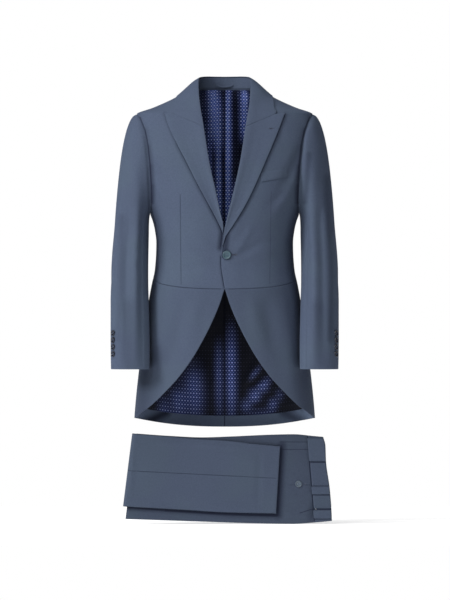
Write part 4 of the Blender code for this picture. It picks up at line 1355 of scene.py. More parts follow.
@dataclass
class Sleeves:
    """Two-piece sleeves with a full head and their cuff buttons' seats."""

    cloth: float = 2.0
    squareness: float = 2.2
    fore_seam: float = 130.0
    rows: int = 70
    cap_rows: int = 40
    cap_out: float = 0.38
    cap_forward: float = 0.12
    cap_down: float = 0.10
    cap_end: tuple[float, float] = (0.06, 1.04)
    tuck: Array = field(default_factory=lambda: np.array([-6.0, 0.0, -2.0]))
    groove: float = 2.6

    def point(self, turn: Any, height: Any, proud: float = 0.0) -> Array:
        """Points of the tube: turn 0 is outward and 90 is to the front.

        Args:
            turn: Turns in degrees.
            height: Heights in millimetres.
            proud: How far outside the tube they lie.

        Returns:
            Points in millimetres.
        """
        turn, height = np.broadcast_arrays(np.asarray(turn, float), np.asarray(height, float))
        out, fore = np.cos(np.radians(turn)), np.sin(np.radians(turn))
        power = 2 / self.squareness
        low = np.minimum(height, SLEEVE_ROWS[0].height)
        width = table_line(SLEEVE_ROWS, "half_width")(low) + proud
        depth = table_line(SLEEVE_ROWS, "half_depth")(low) + proud
        x = table_line(SLEEVE_ROWS, "centre_x")(low) + width * np.sign(out) * np.abs(out) ** power
        y = table_line(SLEEVE_ROWS, "centre_y")(low) - depth * np.sign(fore) * np.abs(fore) ** power
        return np.stack([x, y, height], axis=-1)

    def _cap(self, start: Array, end: Array, t: float) -> Array:
        """Points of the sleeve head between the armhole and the tube.

        Args:
            start: Points of the armhole.
            end: Points of the tube.
            t: Share of the way from start to end.

        Returns:
            Points in millimetres.
        """
        reach = np.linalg.norm(end - start, axis=-1, keepdims=True)
        sway = self.cap_forward * np.clip(start[..., 1] / FORM.armhole_front, -1, 1)
        leave = np.stack([np.full(len(start), self.cap_out), sway,
                          np.full(len(start), -self.cap_down)], axis=-1) * reach
        arrive = np.array([self.cap_end[0], 0.0, -self.cap_end[1]]) * reach
        return (start * (2 * t**3 - 3 * t**2 + 1) + leave * (t**3 - 2 * t**2 + t)
                + end * (3 * t**2 - 2 * t**3) + arrive * (t**3 - t**2))

    def _grid(self, loop: Array, first: Callable[[Any], Any], last: Callable[[Any], Any]) -> Array:
        """Rows of points of a panel, from the cuff up to the armhole.

        Args:
            loop: Points along the armhole.
            first: The first edge's turn at a height.
            last: The last edge's turn at a height.

        Returns:
            The grid in millimetres.
        """
        share = spread(len(loop) - 1)
        top, bottom = SLEEVE_ROWS[0].height, SLEEVE_ROWS[-1].height
        grid = []
        for height in lerp(bottom, top, spread(self.rows))[:-1]:
            grid.append(self.point(lerp(first(height), last(height), share), height))
        ring = self.point(lerp(first(top), last(top), share), top)
        for step in 1 - spread(self.cap_rows):
            grid.append(self._cap(loop, ring, step))
        grid[-1] = grid[-1] + np.array([0.3, 0, 0])
        grid.append(grid[-1] + self.tuck)
        return np.array(grid)

    def build(self, loops: dict[Side, tuple[Array, Array]],
              materials: dict[str, Material]) -> None:
        """Build both sleeves.

        Args:
            loops: The armholes' points over the shoulder and under the arm.
            materials: The suiting of each side's sleeve.
        """
        hind = table_line(SLEEVE_ROWS, "hind_seam")
        lay = Relief(SLEEVE_CREASES, lay=self.point)
        for side in Side:
            over, under = loops[side]
            upper = self._grid(over, lambda _h: self.fore_seam, hind)
            lower = self._grid(under, hind, lambda _h: self.fore_seam - 360.0)
            ring = np.concatenate([upper, lower[:, 1:-1]], axis=1)
            normals = grid_normals(ring, closed=True)
            seam = len(over) - 1
            pieces = (("sleeve_upper", upper, normals[:, :seam + 1]),
                      ("sleeve_under", lower,
                       np.concatenate([normals[:, seam:], normals[:, :1]], axis=1)))
            for stem, grid, direction in pieces:
                name = f"{stem}_{side.value}"
                relief = lay(grid) * calm(grid.shape, 4.0, 5.0) - self._groove(grid)
                wall = Wall(f"{name}_cloth", grid.copy(), direction, self.cloth,
                            mirror=side is Side.UNDER, relief=relief)
                place_sheet(wall, materials[side.value], [name], "suiting")

    def _groove(self, grid: Array) -> Array:
        """How far the sleeve sinks beside the armhole's seam.

        Args:
            grid: The panel's grid.

        Returns:
            Depths in millimetres, one for each point.
        """
        steps = np.linalg.norm(np.diff(grid, axis=0), axis=-1)[::-1]
        away = np.concatenate([np.zeros((1, grid.shape[1])), np.cumsum(steps, axis=0)])[::-1]
        away = np.maximum(away - np.linalg.norm(self.tuck), 0.0)
        low = lerp(0.45, 1.0, smoothstep(80.0, 150.0, -grid[..., 2]))
        return self.groove * low * np.exp(-((away / 6.5) ** 2))


# Lapels, collar and welt


LAPEL_EDGE = table(SideRow,
    (-66.5, 153.5, 151.5), (-100, 140.5, 140.5), (-144, 122.1, 120.5), (-190, 102.5, 96.5),
    (-247, 78.0, 67.9), (-301, 51.2, 38.8), (-350, 21.2, 13.6), (-369, 8.5, 6.2), (-376, 3.6, 5.0),
    (-402, -4.4, 5.0),
)
UNDER_ROLL = table(SeamRow, (-340, 5.0), (-355, 3.6), (-369, 4.8), (-380, 5.0))


@dataclass
class Lapels:
    """Peaked lapels with a soft roll, laid on the fronts."""

    cloth: float = 1.6
    lift: float = 0.5
    low: dict[Side, float] = field(default_factory=lambda: {Side.OVER: -400.0, Side.UNDER: -369.0})
    roll_top: tuple[float, float] = (52.6, -102.0)
    notch: tuple[float, float] = (127.2, -68.6)
    peak: tuple[float, float] = (152.5, -66.5)
    notch_share: float = 0.74
    puff: float = 2.2
    rows: int = 110
    columns: int = 34
    edge_lift: float = 2.4

    def roll_puff(self, share: Any) -> Any:
        """How far the cloth stands up beside the roll line."""
        return self.puff * np.exp(-(((share - 0.08) / 0.16) ** 2))

    def _roll(self, side: Side, height: float) -> float:
        """The roll line's distance from the centre."""
        if side is Side.UNDER and height < UNDER_ROLL[0].height:
            return float(table_line(UNDER_ROLL, "across")(height))
        return float(FORM.front_line(side)(height))

    def grid(self, side: Side) -> tuple[Array, Array]:
        """Points and outward directions of one lapel.

        Args:
            side: The wearer's side.

        Returns:
            The grid and its directions.
        """
        edge = table_line(LAPEL_EDGE, side.name.lower())
        leaf = spread(self.columns)
        t = np.clip(leaf / self.notch_share, 0, 1)
        s = np.clip((leaf - self.notch_share) / (1 - self.notch_share), 0, 1)
        inner = leaf < self.notch_share
        gorge_x = np.where(inner, lerp(self.roll_top[0], self.notch[0], t),
                           lerp(self.notch[0], self.peak[0], s))
        gorge_z = np.where(inner, lerp(self.roll_top[1], self.notch[1], t),
                           lerp(self.notch[1], self.peak[1], s))
        straight_x = lerp(self._roll(side, self.roll_top[1]), float(edge(self.peak[1])), leaf)
        straight_z = lerp(self.roll_top[1], self.peak[1], leaf)
        points, normals = [], []
        for rise in spread(self.rows):
            roll_height = lerp(self.low[side], self.roll_top[1], rise)
            edge_height = lerp(self.low[side], self.peak[1], rise)
            x = lerp(self._roll(side, roll_height), float(edge(edge_height)), leaf)
            z = lerp(roll_height, edge_height, leaf)
            pull = smoothstep(0.75, 1.0, rise)
            x = x + (gorge_x - straight_x) * pull
            z = z + (gorge_z - straight_z) * pull
            out = self.lift + self.cloth + self.roll_puff(leaf) * smoothstep(0.0, 0.3, rise)
            out = out + self.edge_lift * smoothstep(0.55, 1.0, leaf) * smoothstep(0.05, 0.3, rise)
            point, normal = FORM.on(FORM.front_turn(x, z), z, out, side)
            points.append(point)
            normals.append(normal)
        return np.array(points), np.array(normals)

    def build(self, material: Material) -> None:
        """Build both lapels.

        Args:
            material: The suiting.
        """
        for side in Side:
            name = f"lapel_{side.value}"
            points, normals = self.grid(side)
            roundness = np.ones(points.shape[:2])
            roundness[-1] = smoothstep(0.22, 0.62, spread(self.columns))
            rise = Relief(FRONT_CREASES if side is Side.OVER else UNDER_CREASES)(points)
            wall = Wall(f"{name}_cloth", points, normals, self.cloth,
                        mirror=side is Side.UNDER, roundness=roundness,
                        relief=np.maximum(rise, 0.0))
            place_sheet(wall, material, [name], "suiting")


class CollarRow(NamedTuple):
    """A station of the collar: its fold's point, and its edge on the form."""

    fold_x: float
    fold_y: float
    fold_z: float
    edge_turn: float
    edge_z: float
    bulge: float


COLLAR_ROWS = table(CollarRow,
    (52.6, -101.0, -102.0, 31.1, -68.6, 0.0), (57.2, -91.0, -76.0, 36.8, -55.5, 0.0),
    (61.2, -80.0, -51.0, 46.6, -42.5, 1.0), (64.0, -64.0, -29.0, 58.5, -32.0, 2.0),
    (65.8, -47.0, -12.0, 68.0, -26.5, 4.0), (66.4, -31.0, 3.0, 79.0, -22.5, 5.0),
    (66.8, -13.0, 15.5, 92.0, -19.0, 5.0), (66.2, 6.0, 24.5, 107.0, -17.0, 5.0),
    (63.0, 23.5, 29.0, 122.0, -16.0, 4.5), (54.5, 40.0, 31.0, 138.0, -15.0, 4.0),
    (39.5, 52.5, 31.8, 152.0, -14.5, 4.0), (20.0, 59.5, 31.6, 166.0, -14.0, 4.0),
    (0.0, 61.5, 31.4, 180.0, -13.5, 4.0),
)


@dataclass
class Collar:
    """The collar's fall over its stand, and the hanger loop."""

    cloth: float = 1.6
    stand_cloth: float = 1.5
    lift: float = 0.5
    rise: float = 0.4
    free: tuple[float, float] = (1.5, 4.5)
    stand_first: int = 6
    stand_clear: float = 4.4
    columns: int = 30
    per_row: int = 7
    lapels: Lapels = field(default_factory=Lapels)

    def _line(self, column: str, number: Any) -> Any:
        """One column of the table at a row number between rows."""
        values = [getattr(row, column) for row in COLLAR_ROWS]
        return Line(list(range(len(values))), values)(number)

    def fold(self, number: Any) -> Array:
        """The fold's point."""
        parts = [self._line(column, number) for column in ("fold_x", "fold_y", "fold_z")]
        return np.stack(parts, axis=-1)

    def station(self, number: float) -> tuple[Array, Array, float]:
        """Points from the fold to the edge, the form's directions and how free it is.

        Args:
            number: The row's number, with a share of the way to the next row.

        Returns:
            The points, the form's directions and the share that is free.
        """
        share = spread(self.columns)
        fold = self.fold(number)
        clear = self.lift + self.cloth + self.rise * smoothstep(0.0, 2.0, number)
        turn, height = self._line("edge_turn", number), self._line("edge_z", number)
        edge, normal = FORM.on(turn, height, clear)
        free = float(smoothstep(*self.free, number))
        bulge = self._line("bulge", number) * 4 * share * (1 - share) * (1.4 - 0.8 * share)
        up = unit(normal + np.array([0, 0, 0.6]))
        points = lerp(fold[None], edge[None], share[:, None]) + up[None] * bulge[:, None]
        lying = np.repeat(normal[None], len(share), axis=0)
        if free < 1:
            end = FORM.point(turn, height)
            end_x = self.lapels.notch[0] if number == 0 else end[0]
            x, z = lerp(fold[0], end_x, share), lerp(fold[2], end[2], share)
            out = clear + self.lapels.roll_puff(share * self.lapels.notch_share)
            laid, lying = FORM.on(FORM.front_turn(x, z), z, out)
            points = lerp(laid, points, free)
        return points, lying, free

    def _mirror(self, grid: Array) -> Array:
        """The grid and its mirrored rows after it."""
        other = grid[:-1][::-1] * MIRROR
        return np.concatenate([grid, other])

    def build(self, material: Material) -> None:
        """Build the fall, the stand and the hanger loop.

        Args:
            material: The suiting.
        """
        last = len(COLLAR_ROWS) - 1
        stations = [self.station(number) for number in lerp(0.0, last, spread(last * self.per_row))]
        grid = np.array([points for points, _, _ in stations])
        free = np.array([share for _, _, share in stations])[:, None, None]
        normals = unit(lerp(np.array([lies for _, lies, _ in stations]), grid_normals(grid), free))
        grid[-1, :, 0] = 0.0
        normals[-1, :, 0] = 0.0
        roundness = np.ones((2 * len(grid) - 1, grid.shape[1]))
        roundness[0] = roundness[-1] = smoothstep(0.30, 0.84, spread(self.columns))
        wall = Wall("collar_fall_cloth", self._mirror(grid), self._mirror(unit(normals)),
                    self.cloth, roundness=roundness)
        place_sheet(wall, material, ["collar_fall"], "suiting")

        number = lerp(self.stand_first, last, spread((last - self.stand_first) * self.per_row))
        fold = self.fold(number)
        turn = np.degrees(np.arctan2(fold[:, 0] / FORM.half_width(0), -fold[:, 1] / FORM.back_depth(0)))
        base = FORM.point(turn, 0.0)
        outward = unit(base * np.array([1, 1, 0]))
        low = base - outward * self.stand_cloth + np.array([0, 0, 0.3])
        top = fold - outward
        top[:, 2] = np.maximum(fold[:, 2] - self.stand_clear, low[:, 2] + 3.0)
        share = spread(12)
        grid = low[:, None] + (top - low)[:, None] * share[None, :, None]
        grid = self._mirror(grid)
        inward = -self._mirror(np.repeat(outward[:, None], len(share), axis=1))
        wall = Wall("collar_stand_cloth", grid, inward, self.stand_cloth, edge=0.5)
        place_sheet(wall, material, ["collar_stand"], "suiting")
        self._hanger(material)

    def _hanger(self, material: Material) -> None:
        """A narrow loop to hang the coat by, sewn to the stand at both ends.

        Args:
            material: The suiting.
        """
        share = spread(30)
        x = lerp(-21.0, 21.0, share)
        sag = 4.0 * (1 - (2 * share - 1) ** 2)
        depth = FORM.back_depth(0) - 1.5 - 3.6
        y = depth * (1 - np.abs(x / FORM.half_width(0)) ** FORM.squareness) ** (1 / FORM.squareness)
        y = y - 0.6 - 2.2 * np.sin(math.pi * share)
        rows = []
        for rise in spread(4):
            rows.append(np.stack([x, y, 7.0 - sag + rise * 4.5], axis=-1))
        grid = np.array(rows)
        normals = np.repeat(np.repeat(np.array([[[0.0, -1.0, 0.0]]]), len(rows), 0), len(x), 1)
        loop = Wall("hanger_loop_cloth", grid, normals, 1.0, edge=0.4)
        width, _, area = loop.flat_size()
        piece = place(loop.build(material), [], "suiting")


@dataclass
class BreastWelt:
    """The breast pocket's welt, with its upper edge slightly open."""

    inner: tuple[float, float] = (93.0, -240.5)
    outer: tuple[float, float] = (160.0, -228.5)
    height: float = 23.0
    cloth: float = 1.4

    def build(self, material: Material) -> None:
        """Build the welt.

        Args:
            material: The suiting.
        """
        share, rise = np.meshgrid(spread(30), spread(12))
        x = lerp(self.inner[0], self.outer[0], share)
        z = lerp(self.inner[1], self.outer[1], share) + self.height * rise
        out = lerp(0.5 + self.cloth, 0.15, smoothstep(0.15, 1.0, rise))
        points, normals = FORM.on(FORM.front_turn(x, z), z, out, Side.OVER)
        wall = Wall("breast_welt_cloth", points, normals, self.cloth, edge=0.3,
                    relief=Relief(FRONT_CREASES)(points))
        place_sheet(wall, material, ["breast_welt"], "suiting")


# Lining


class LiningRow(NamedTuple):
    """A row of the lining and the turn of its outer side."""

    height: float
    side_turn: float


LINING_ROWS = table(LiningRow,
    (-760, 93), (-690, 93), (-620, 93), (-555, 93), (-505, 93), (-463, 93), (-425, 93), (-388, 93),
    (-350, 94), (-305, 112), (-255, 128), (-200, 138), (-150, 144), (-110, 151), (-82, 156),
    (-60, 154), (-44, 147), (-30, 142), (-18, 136), (-9, 128), (-1, 116),
)

# Folds that rise towards the wearer, on the wearer's left and on the right
LINING_FOLDS = {
    Side.OVER: table(Crease,
        ((9, -4), (7, -330), 5.0, 6.5, 1.5), ((46, -6), (36, -200), 6.0, 8.5, -3.0),
        ((58, -30), (70, -160), 3.5, 9.0, 0.0), ((26, -150), (18, -360), 4.0, 6.0, 2.0),
        ((8, -560), (6, -790), 4.5, 9.0, 0.0), ((30, -600), (22, -800), 4.0, 8.0, -3.0),
        ((112, -742), (44, -812), 7.0, 8.0, -4.0), ((146, -775), (104, -815), 5.0, 6.5, -2.0),
        ((84, -690), (52, -760), 3.5, 9.0, 3.0), ((166, -640), (150, -760), 4.0, 12.0, 0.0),
    ),
    Side.UNDER: table(Crease,
        ((12, -90), (8, -340), 4.0, 6.0, -2.0), ((36, -8), (28, -150), 5.0, 10.0, 3.0),
        ((56, -20), (40, -190), 3.5, 7.5, 0.0), ((24, -200), (16, -350), 3.0, 6.0, 1.0),
        ((14, -640), (34, -800), 4.0, 10.0, -5.0), ((58, -690), (72, -805), 4.0, 12.0, -4.0),
        ((100, -730), (112, -810), 3.5, 11.0, -3.0), ((150, -660), (150, -790), 3.5, 14.0, 0.0),
    ),
}


# Painted highlights: strips where the satin's folds catch the light, each with its brightness and width
LINING_PAINTED_LIGHT = {
    Side.OVER: table(Crease,
        ((10, 40), (8, -370), 1.00, 7.0), ((54, 40), (47, -130), 0.80, 8.0),
        ((35, 30), (37, -80), 0.12, 4.0), ((26, -230), (18, -340), 0.20, 7.0),
        ((17, -590), (17, -848), 0.95, 13.0), ((118, -740), (44, -822), 0.85, 11.0),
        ((150, -780), (110, -822), 0.60, 9.0), ((94, -708), (64, -746), 0.45, 7.0),
        ((54, -828), (130, -826), 0.45, 10.0),
    ),
    Side.UNDER: table(Crease,
        ((34, 40), (20, -150), 0.90, 14.0), ((17, -100), (14, -370), 0.75, 7.0),
        ((42, -90), (34, -260), 0.30, 6.0), ((60, 0), (50, -300), 0.10, 12.0),
        ((15, -640), (14, -848), 0.55, 11.0), ((82, -712), (76, -848), 0.62, 24.0),
        ((122, -762), (118, -848), 0.55, 22.0), ((162, -796), (154, -848), 0.45, 18.0),
    ),
}


@dataclass
class BackLining:
    """The back's lining down to the hem facing, with painted light on its folds."""

    lining_cloth: float = 1.0
    cloth: float = 2.0
    gap: float = 2.0
    facing: float = 28.0
    columns: int = 92
    rows: int = 200
    # Painted light: its level in the skirts' opening, and higher up in the neck's V
    low_light: float = 1.25
    high_light: float = 4.3

    def build(self, lining: Material, suiting: Material) -> None:
        """Build both linings and hem facings.

        Args:
            lining: The satin.
            suiting: The coat's cloth.
        """
        inside = -(self.cloth + self.gap)
        share = spread(self.columns)
        side_line = Line([row.height for row in LINING_ROWS], [row.side_turn for row in LINING_ROWS])
        for side in Side:
            mirror = side is Side.UNDER
            first = lerp(93.0, 180.0, share)
            lowest = FORM.hem(first) + self.facing
            marks = np.concatenate([[0.0], np.cumsum(np.abs(np.diff([r.height for r in LINING_ROWS])))])
            heights = np.interp(lerp(0, marks[-1], spread(self.rows)), marks,
                                [r.height for r in LINING_ROWS])
            turn = [first, first, first]
            height = [lowest, lerp(lowest, -760.0, 0.33), lerp(lowest, -760.0, 0.66)]
            for level in heights:
                turn.append(lerp(float(side_line(level)), 180.0, share))
                height.append(np.full(len(share), level))
            points, normals = FORM.on(np.array(turn), np.array(height), inside)
            folds = Relief(LINING_FOLDS[side], at_back=True)(points)
            folds = np.maximum(folds, -1.4)
            # Painted highlights along the satin's folds
            glow = 0.02 + Relief(LINING_PAINTED_LIGHT[side], at_back=True, lobe=0.0)(points)
            fade = smoothstep(0, 6, np.arange(len(turn)))[:, None]
            fade = fade * smoothstep(0, 5, np.arange(len(turn))[::-1])[:, None]
            fade = fade * smoothstep(0, 4, np.arange(len(share))[::-1])[None]
            # Painted brightness by height: bright in the neck's V, dark at the top of the skirts'
            # opening, lighter again lower down
            level = points[..., 2]
            painted_brightness = lerp(self.low_light, self.high_light, smoothstep(-520.0, -420.0, level))
            painted_brightness = painted_brightness * lerp(0.25, 1.0, np.maximum(smoothstep(-560.0, -700.0, level),
                                                         smoothstep(-520.0, -420.0, level)))
            wall = Wall(f"back_lining_{side.value}_cloth", points, normals, self.lining_cloth,
                        edge=0.3, mirror=mirror, relief=-folds * fade, u_at_end=True,
                        shade=np.clip(glow, 0.0, 1.0) * painted_brightness)
            place_sheet(wall, lining, [f"back_lining_{side.value}"], "lining")

            turn, rise = np.meshgrid(first, spread(14))
            height = FORM.hem(turn) + lerp(0.5, self.facing, rise)
            points, normals = FORM.on(turn, height, inside)
            wall = Wall(f"hem_facing_{side.value}_cloth", points, normals, self.lining_cloth,
                        edge=0.4, mirror=mirror, u_at_end=True)
            place_sheet(wall, suiting, [f"hem_facing_{side.value}"], "suiting")


# Folded trousers


class EdgeRow(NamedTuple):
    """A place on an edge of the folded pile."""

    along: float
    height: float


PILE_TOP = table(EdgeRow,
    (-260, -878.0), (-236, -879.8), (-136, -886.9), (-58, -890.4), (20, -887.9), (117, -883.6),
    (176, -882.4), (227, -886.9), (262, -890.0),
)
PILE_BOTTOM = table(EdgeRow,
    (-260, -1098.4), (-60, -1105.2), (80, -1109.8), (172, -1111.2), (231, -1107.6), (275, -1103.4),
)
LEG_TOP = table(EdgeRow,
    (-260, -878.4), (-236, -880.2), (-136, -888.6), (-63, -894.6), (14, -899.6), (77, -906.4),
    (142, -912.4),
)
LEG_BOTTOM = table(EdgeRow, (-260, -1066.4), (-140, -1073.0), (0, -1081.2), (132, -1084.8))
BAND_OUTER = table(EdgeRow,
    (251.2, -889), (257.0, -910), (258.6, -950), (267.8, -1018), (272.6, -1077), (273.6, -1104),
)

# Soft rises and hollows on the pile, placed by (x, z)
LEG_CREASES = table(Crease,
    ((-250, -1058), (-40, -1068), -1.5, 8.0, 2.0), ((-120, -1060), (120, -1074), 1.5, 9.0, -2.0),
    ((-200, -900), (40, -915), 1.2, 10.0, 2.0), ((-180, -1010), (60, -1030), -1.0, 14.0, 3.0),
    ((90, -920), (84, -1070), -1.2, 8.0, 0.0), ((-236, -930), (-238, -1040), 1.0, 7.0, 0.0),
    ((20, -940), (110, -960), 0.9, 13.0, 0.0),
)
SEAT_CREASES = table(Crease,
    ((150, -1052), (214, -1042), -1.7, 6.0, 2.0), ((196, -1074), (232, -1062), 1.7, 6.0, 0.0),
    ((152, -915), (205, -905), -1.3, 6.0, 0.0), ((160, -990), (214, -1010), 1.3, 10.0, 0.0),
    ((150, -1095), (226, -1090), 1.3, 8.0, 0.0), ((-180, -1092), (60, -1100), -1.1, 6.0, 0.0),
)


@dataclass
class Trousers:
    """The folded trousers: two leg layers, the seat below them, and the waistband."""

    back: float = 9.5
    front: float = -9.2
    layer: float = 3.6
    gap: float = 0.3
    band_front: float = -3.6
    loop_cloth: float = 2.2
    knee: tuple[float, float] = (-235.9, -259.3)
    leg_hem: tuple[float, float] = (141.5, 131.1)
    seat_end: tuple[float, float] = (216.5, 234.0)
    band_inner: tuple[float, float] = (212.5, 230.0)
    tab: tuple[float, float] = (-892.0, -950.5)
    loops: tuple[tuple[float, float], ...] = ((-1015.8, -1035.2), (-1076.0, -1097.0))
    strip_reach: float = 2.0

    def _slab(self, name: str, first: Callable[[Any], Any], last: Callable[[Any], Any],
              top: Callable[[Any], Any], bottom: Callable[[Any], Any], back: float, front: float,
              counts: tuple[int, int], relief: Relief | None, material: Material,
              nodes: Sequence[str]) -> None:
        """A layer with a flat back and rounded edges.

        Args:
            name: The piece's name.
            first: Its first end's x by share of height.
            last: Its last end's x by share of height.
            top: Its upper edge's height by x.
            bottom: Its lower edge's height by x.
            back: The back's depth.
            front: The front's depth.
            counts: Steps along and across.
            relief: Rises on its front.
            material: The suiting.
            nodes: The solids that it stands for.
        """
        share, drop = np.meshgrid(eased(counts[0]), eased(counts[1]))
        x = lerp(first(drop), last(drop), share)
        z = lerp(top(x), bottom(x), drop)
        fade = (1 - np.abs(2 * share - 1) ** 20) ** (1 / 3) * (1 - np.abs(2 * drop - 1) ** 16) ** (1 / 3)
        y = lerp(back, front, 0.35 + 0.65 * fade)
        grid = np.stack([x, y, z], axis=-1)
        if relief is not None:
            grid[..., 1] -= relief(flat_place(x, z)) * fade
        rows, columns = grid.shape[:2]
        rear = grid.copy()
        rear[..., 1] = back
        verts = np.concatenate([grid.reshape(-1, 3), rear.reshape(-1, 3)]) * MM
        uv = np.stack([x.ravel(), z.ravel()], axis=-1) * MM
        layer = rows * columns
        faces = two_sides(rows, columns)
        around = rim(rows, columns).tolist()
        faces += [(b, a, layer + a, layer + b) for a, b in zip(around, around[1:] + around[:1])]
        piece = place(make_mesh(name, verts, faces, material, np.concatenate([uv, uv])), nodes,
                      "suiting")
        piece.data.set_sharp_from_angle(angle=math.radians(55))

    def _leg(self, name: str, depth: float, hem_back: float, material: Material,
             nodes: Sequence[str], relief: Relief | None) -> None:
        """One leg layer, from its hem along the pile and round the knee fold.

        Args:
            name: The piece's name.
            depth: How far it lies inside the outer layer.
            hem_back: How far its hem lies behind the outer one.
            material: The suiting.
            nodes: The solids that it stands for.
            relief: Rises on its front.
        """
        radius = (self.back - self.front) / 2 - depth
        middle = (self.back + self.front) / 2
        reach = (self.back - self.front) / 2
        top, bottom = table_line(LEG_TOP, "height", "along"), table_line(LEG_BOTTOM, "height", "along")
        drop = eased(46)[:, None]
        centre = lerp(self.knee[0], self.knee[1], drop) + reach
        hem = lerp(self.leg_hem[0], self.leg_hem[1], drop) - hem_back
        straight = spread(110)[None, :] ** 0.9
        x1 = lerp(hem, centre, straight)
        y1 = np.full_like(x1, middle - radius)
        angle = (math.pi * spread(26)[1:])[None, :]
        x2 = centre - np.sin(angle) * radius
        y2 = np.repeat(middle - np.cos(angle) * radius, len(drop), axis=0)
        x, y = np.concatenate([x1, x2], axis=1), np.concatenate([y1, y2], axis=1)
        direction = np.zeros(x.shape + (3,))
        direction[:, :x1.shape[1], 1] = -1.0
        direction[:, x1.shape[1]:, 0] = np.repeat(-np.sin(angle), len(drop), axis=0)
        direction[:, x1.shape[1]:, 1] = np.repeat(-np.cos(angle), len(drop), axis=0)
        inset = depth * 1.3
        z = lerp(top(x) - inset, bottom(x) + inset, drop)
        grid = np.stack([x, y, z], axis=-1)
        rise = None
        if relief is not None:
            rise = relief(flat_place(x, z))
            rise = rise * smoothstep(0, 4, np.arange(x.shape[1]))[None]
            rise[:, x1.shape[1]:] *= 0.0
        wall = Wall(name, grid, direction, self.layer, edge=1.5, relief=rise)
        place_sheet(wall, material, nodes, "suiting")

    def build(self, finishes: dict[str, Material]) -> None:
        """Build the pile.

        Args:
            finishes: Materials by piece name.
        """
        pile_top = table_line(PILE_TOP, "height", "along")
        pile_bottom = table_line(PILE_BOTTOM, "height", "along")
        band = table_line(BAND_OUTER, "along", "height")
        legs = 2 * (self.layer + self.gap)
        seat_front = self.front + legs
        room = (self.back - self.front) / 2 + self.gap + 0.7
        plain = finishes["plain"]
        flat = Relief(SEAT_CREASES, lay=flat_place)
        self._slab("trouser_seat_cloth", lambda d: lerp(self.knee[0], self.knee[1], d * 1.18) + room,
                   lambda d: lerp(self.seat_end[0], self.seat_end[1], d), pile_top, pile_bottom,
                   self.back, seat_front, (150, 70), flat, finishes["trouser_seat"],
                   ["trouser_seat"])
        self._leg("trouser_leg_top_cloth", 0.0, 0.0, finishes["trouser_leg"], ["trouser_leg_top"],
                  Relief(LEG_CREASES, lay=flat_place))
        self._leg("trouser_leg_under_cloth", self.layer + self.gap, 6.0, finishes["layer"],
                  ["trouser_leg_under"], None)
        self._slab("waistband_cloth", lambda d: lerp(self.band_inner[0], self.band_inner[1], d),
                   lambda d: band(lerp(BAND_OUTER[0].height, BAND_OUTER[-1].height, d)),
                   pile_top, pile_bottom, self.back, self.band_front, (30, 80), None,
                   finishes["waistband"], ["waistband"])
        depth = float(pile_bottom(250) - pile_top(250))
        strips = [("waistband_tab", self.tab)]
        strips += [(f"belt_loop_{k}", pair) for k, pair in enumerate(self.loops, start=1)]
        for name, (high, low) in strips:
            def start(d: Any, high: float = high, low: float = low) -> Any:
                """The strip's inner end."""
                at = (lerp(high, low, d) - float(pile_top(250))) / depth
                return lerp(self.band_inner[0], self.band_inner[1], at) - self.strip_reach

            def stop(d: Any, high: float = high, low: float = low) -> Any:
                """The strip's outer end."""
                return band(lerp(high, low, d)) - 1.5

            self._slab(f"{name}_cloth", start, stop, lambda x, h=high: np.full_like(x, h),
                       lambda x, h=low: np.full_like(x, h), self.band_front - self.gap,
                       self.band_front - self.gap - self.loop_cloth - 0.6, (24, 16), None, plain,
                       [name])


# Buttons


